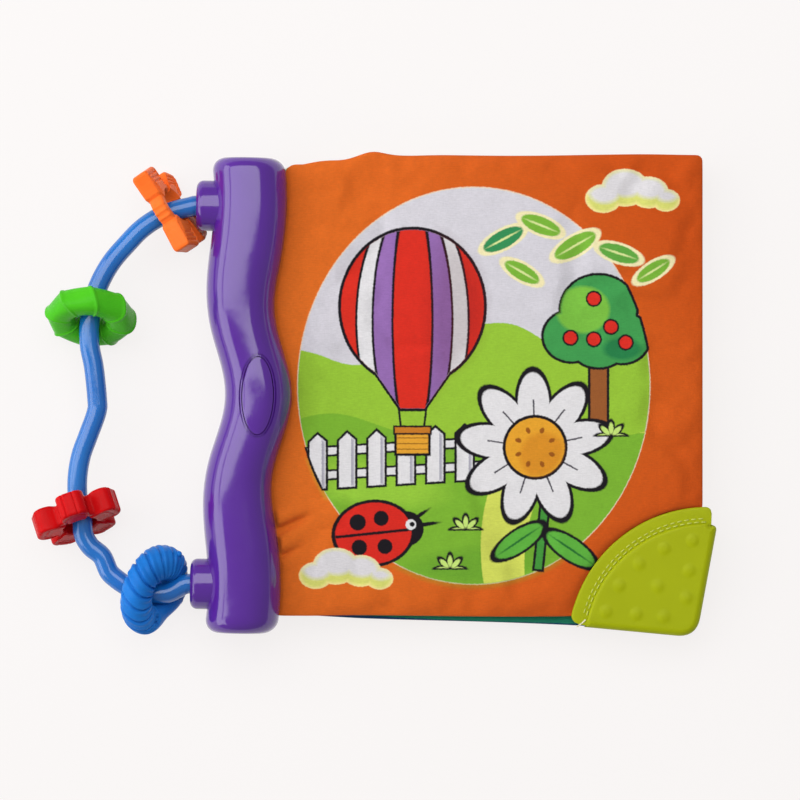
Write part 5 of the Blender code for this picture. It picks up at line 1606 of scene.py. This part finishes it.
def stitch_rows(centre, place, lip):
    """Two rows of machine stitches along the flange, and the tail of the thread."""
    work = bmesh.new()
    middle = Vector((place.x + centre.x, place.y + centre.y, 0))
    for radius, offset in ((STITCH_RADIUS + 0.0005, 0.0), (STITCH_RADIUS + 0.0016, 0.4)):
        pitch = 0.0023 / radius
        number = 0
        while True:
            start = radians(90.5) + (number + offset) * pitch
            end = start + pitch * 0.70
            if end > radians(167.5):
                break
            points = []
            for k in range(7):
                angle = start + (end - start) * k / 6
                bow = sin(pi * k / 6)
                height = place.z + lip - 0.00018 + 0.00034 * bow ** 0.7
                points.append(middle + Vector((*polar(radius, angle), height)))
            strand(work, points, 0.00019)
            number += 1
    thread = add_piece("flange_stitches", mesh_of("flange_stitches", work),
                       thread_material("pale_green_thread", tint(212, 220, 104), tint(182, 192, 76)))
    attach(thread, "front_cover")
    work = bmesh.new()
    end = radians(168.3)
    tail = middle + Vector((*polar(STITCH_RADIUS + 0.0008, end), 0))
    points = []
    for k in range(12):
        share = k / 11
        points.append(Vector((tail.x + 0.0003 - 0.0029 * share ** 1.3, tail.y + 0.0005 - 0.0024 * share,
                              place.z + lip + 0.0001 - 0.0004 * share)))
    strand(work, points, 0.00024)
    loose_end = add_piece("thread_tail", mesh_of("thread_tail", work),
                          thread_material("cream_thread", tint(238, 232, 206), tint(222, 212, 180)))
    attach(loose_end, "front_cover")


# Make the pieces

handle_shell("handle_upper_moulding", True)
handle_shell("handle_lower_moulding", False)
tube_piece()
add_beads()
SMALL_PARTS = [(f"handle_screw_{index}", STEEL) for index in range(1, 5)]
SMALL_PARTS += [("upper_tube_collar", COLLAR), ("lower_tube_collar", COLLAR)]
for name, part_material in SMALL_PARTS:
    coated(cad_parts[name], part_material)

FIELD = puckered_field()
FILM, WADDING = crinkle_film(), wadding_fibre()
LINING = "cover_lining"

# Upper and lower cloth of each leaf from the top down: material, slot, and how the puckers are flipped
CLOTHS = (
    (front_print(), "front_cover_print", (False, False)),
    (page_cloth("front_cover_lining_cloth", (186, 170, 84), "hills",
                ((150, 190, 70), (120, 170, 60), (240, 236, 210))), LINING, (True, False)),
    (page_cloth("leaf_2_printed_cloth", (44, 132, 104), "waves",
                ((34, 118, 92), (30, 120, 94), (24, 60, 100))), "leaf_2_print", (False, True)),
    (page_cloth("leaf_2_back_cloth", (222, 190, 86), "suns",
                ((236, 140, 50), (244, 214, 90), (226, 110, 60))), "leaf_2_back", (True, True)),
    (page_cloth("leaf_3_printed_cloth", (110, 182, 222), "hills",
                ((120, 190, 90), (96, 168, 74), (246, 246, 240))), "leaf_3_print", (True, False)),
    (page_cloth("leaf_3_back_cloth", (176, 96, 150), "dots",
                ((240, 214, 232), (128, 60, 120), (100, 44, 100))), "leaf_3_back", (False, True)),
    (page_cloth("back_cover_lining_cloth", (176, 196, 84), "dots",
                ((238, 240, 200), (120, 168, 62), (96, 146, 54))), LINING, (True, True)),
    (back_print(), "back_cover_print", (False, False)),
)
for index, (cloth_material, slot_name, flips) in enumerate(CLOTHS):
    number, outer = index // 2, index % 2 == 0
    page_piece(number, outer, field_reader(FIELD, *flips), cloth_material)
for number, leaf in enumerate(LEAVES):
    film, flat_size, flat_area = inner_sheet(number, leaf + "_film_sheet", 0.00055, 0.00012, FILM, 0.00010)
    cross_hinge(film)
    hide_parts(leaf + "_crinkle_film")
    pad, _, _ = inner_sheet(number, leaf + "_wadding_pad", -0.00030, 0.0010, WADDING, 0.00008)
    cross_hinge(pad)
    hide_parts(leaf + "_wadding")
binding_piece()
teether_piece()


# Floor, light and camera

def floor_piece():
    """A pale floor whose own colour shows through a light shadow."""
    material, tree, shader, place = object_material("pale_backdrop")
    tone = mixed(tree, clouds(tree, place, 3, 2), tint(250, 247, 246), tint(249, 246, 245))
    feed(tree, shader.inputs["Base Color"], tone)
    preset(shader, Roughness=1.0, Specular_IOR_Level=0.0)
    paths = tree.nodes.new("ShaderNodeLightPath").outputs
    seen = maths(tree, "MAXIMUM", maths(tree, "MAXIMUM", paths["Is Camera Ray"], paths["Is Glossy Ray"]),
                 paths["Is Transmission Ray"])
    glow = tree.nodes.new("ShaderNodeEmission")
    feed(tree, glow.inputs["Color"], tone)
    blend = tree.nodes.new("ShaderNodeMixShader")
    feed(tree, blend.inputs[0], maths(tree, "MULTIPLY", seen, FLOOR_GLOW))
    tree.links.new(shader.outputs[0], blend.inputs[1])
    tree.links.new(glow.outputs[0], blend.inputs[2])
    tree.links.new(blend.outputs[0], tree.nodes["Material Output"].inputs["Surface"])
    mesh = bpy.data.meshes.new("backdrop")
    corners = [(x * FLOOR_HALF, y * FLOOR_HALF, FLOOR_HEIGHT)
               for x, y in ((-1, -1), (1, -1), (1, 1), (-1, 1))]
    mesh.from_pydata(corners, [], [(0, 1, 2, 3)])
    floor = add_piece("backdrop", mesh, material)


def add_softbox(name, place, size, turn, radiance):
    """A panel that faces down until it is turned, with its brightness given as what a mirror would show."""
    light = bpy.data.lights.new(name, "AREA")
    light.shape = "RECTANGLE"
    light.size, light.size_y = size
    light.energy = radiance * pi * size[0] * size[1]
    obj = bpy.data.objects.new(name, light)
    bpy.context.scene.collection.objects.link(obj)
    obj.location = place
    obj.rotation_euler = [radians(value) for value in turn]


floor_piece()
add_softbox("upper_softbox", (-0.64, 0.52, 1.0), (2.10, 1.07), (0, 0, 4.2), 2.55)
add_softbox("lower_left_softbox", (-1.53, -0.65, 1.0), (0.84, 1.1), (0, 0, 0), 2.4)
add_softbox("left_softbox", (-1.95, 0, 0.55), (0.9, 2.6), (0, -90, 0), 2.4)
world = bpy.data.worlds.new("studio")
bpy.context.scene.world = world
world.use_nodes = True
background = world.node_tree.nodes["Background"]
background.inputs["Color"].default_value = (1.0, 0.99, 0.985, 1)
background.inputs["Strength"].default_value = 0.32

camera_data = bpy.data.cameras.new("photo_camera")
camera_data.sensor_width = SENSOR
camera_data.lens = SENSOR * PHOTO_DISTANCE / PHOTO_WIDTH
camera_data.clip_end = 20
camera = bpy.data.objects.new("photo_camera", camera_data)
bpy.context.scene.collection.objects.link(camera)
camera.location = (0.0079, -0.00145, 2.013)
bpy.context.scene.camera = camera
bpy.context.scene.view_settings.view_transform = "Standard"
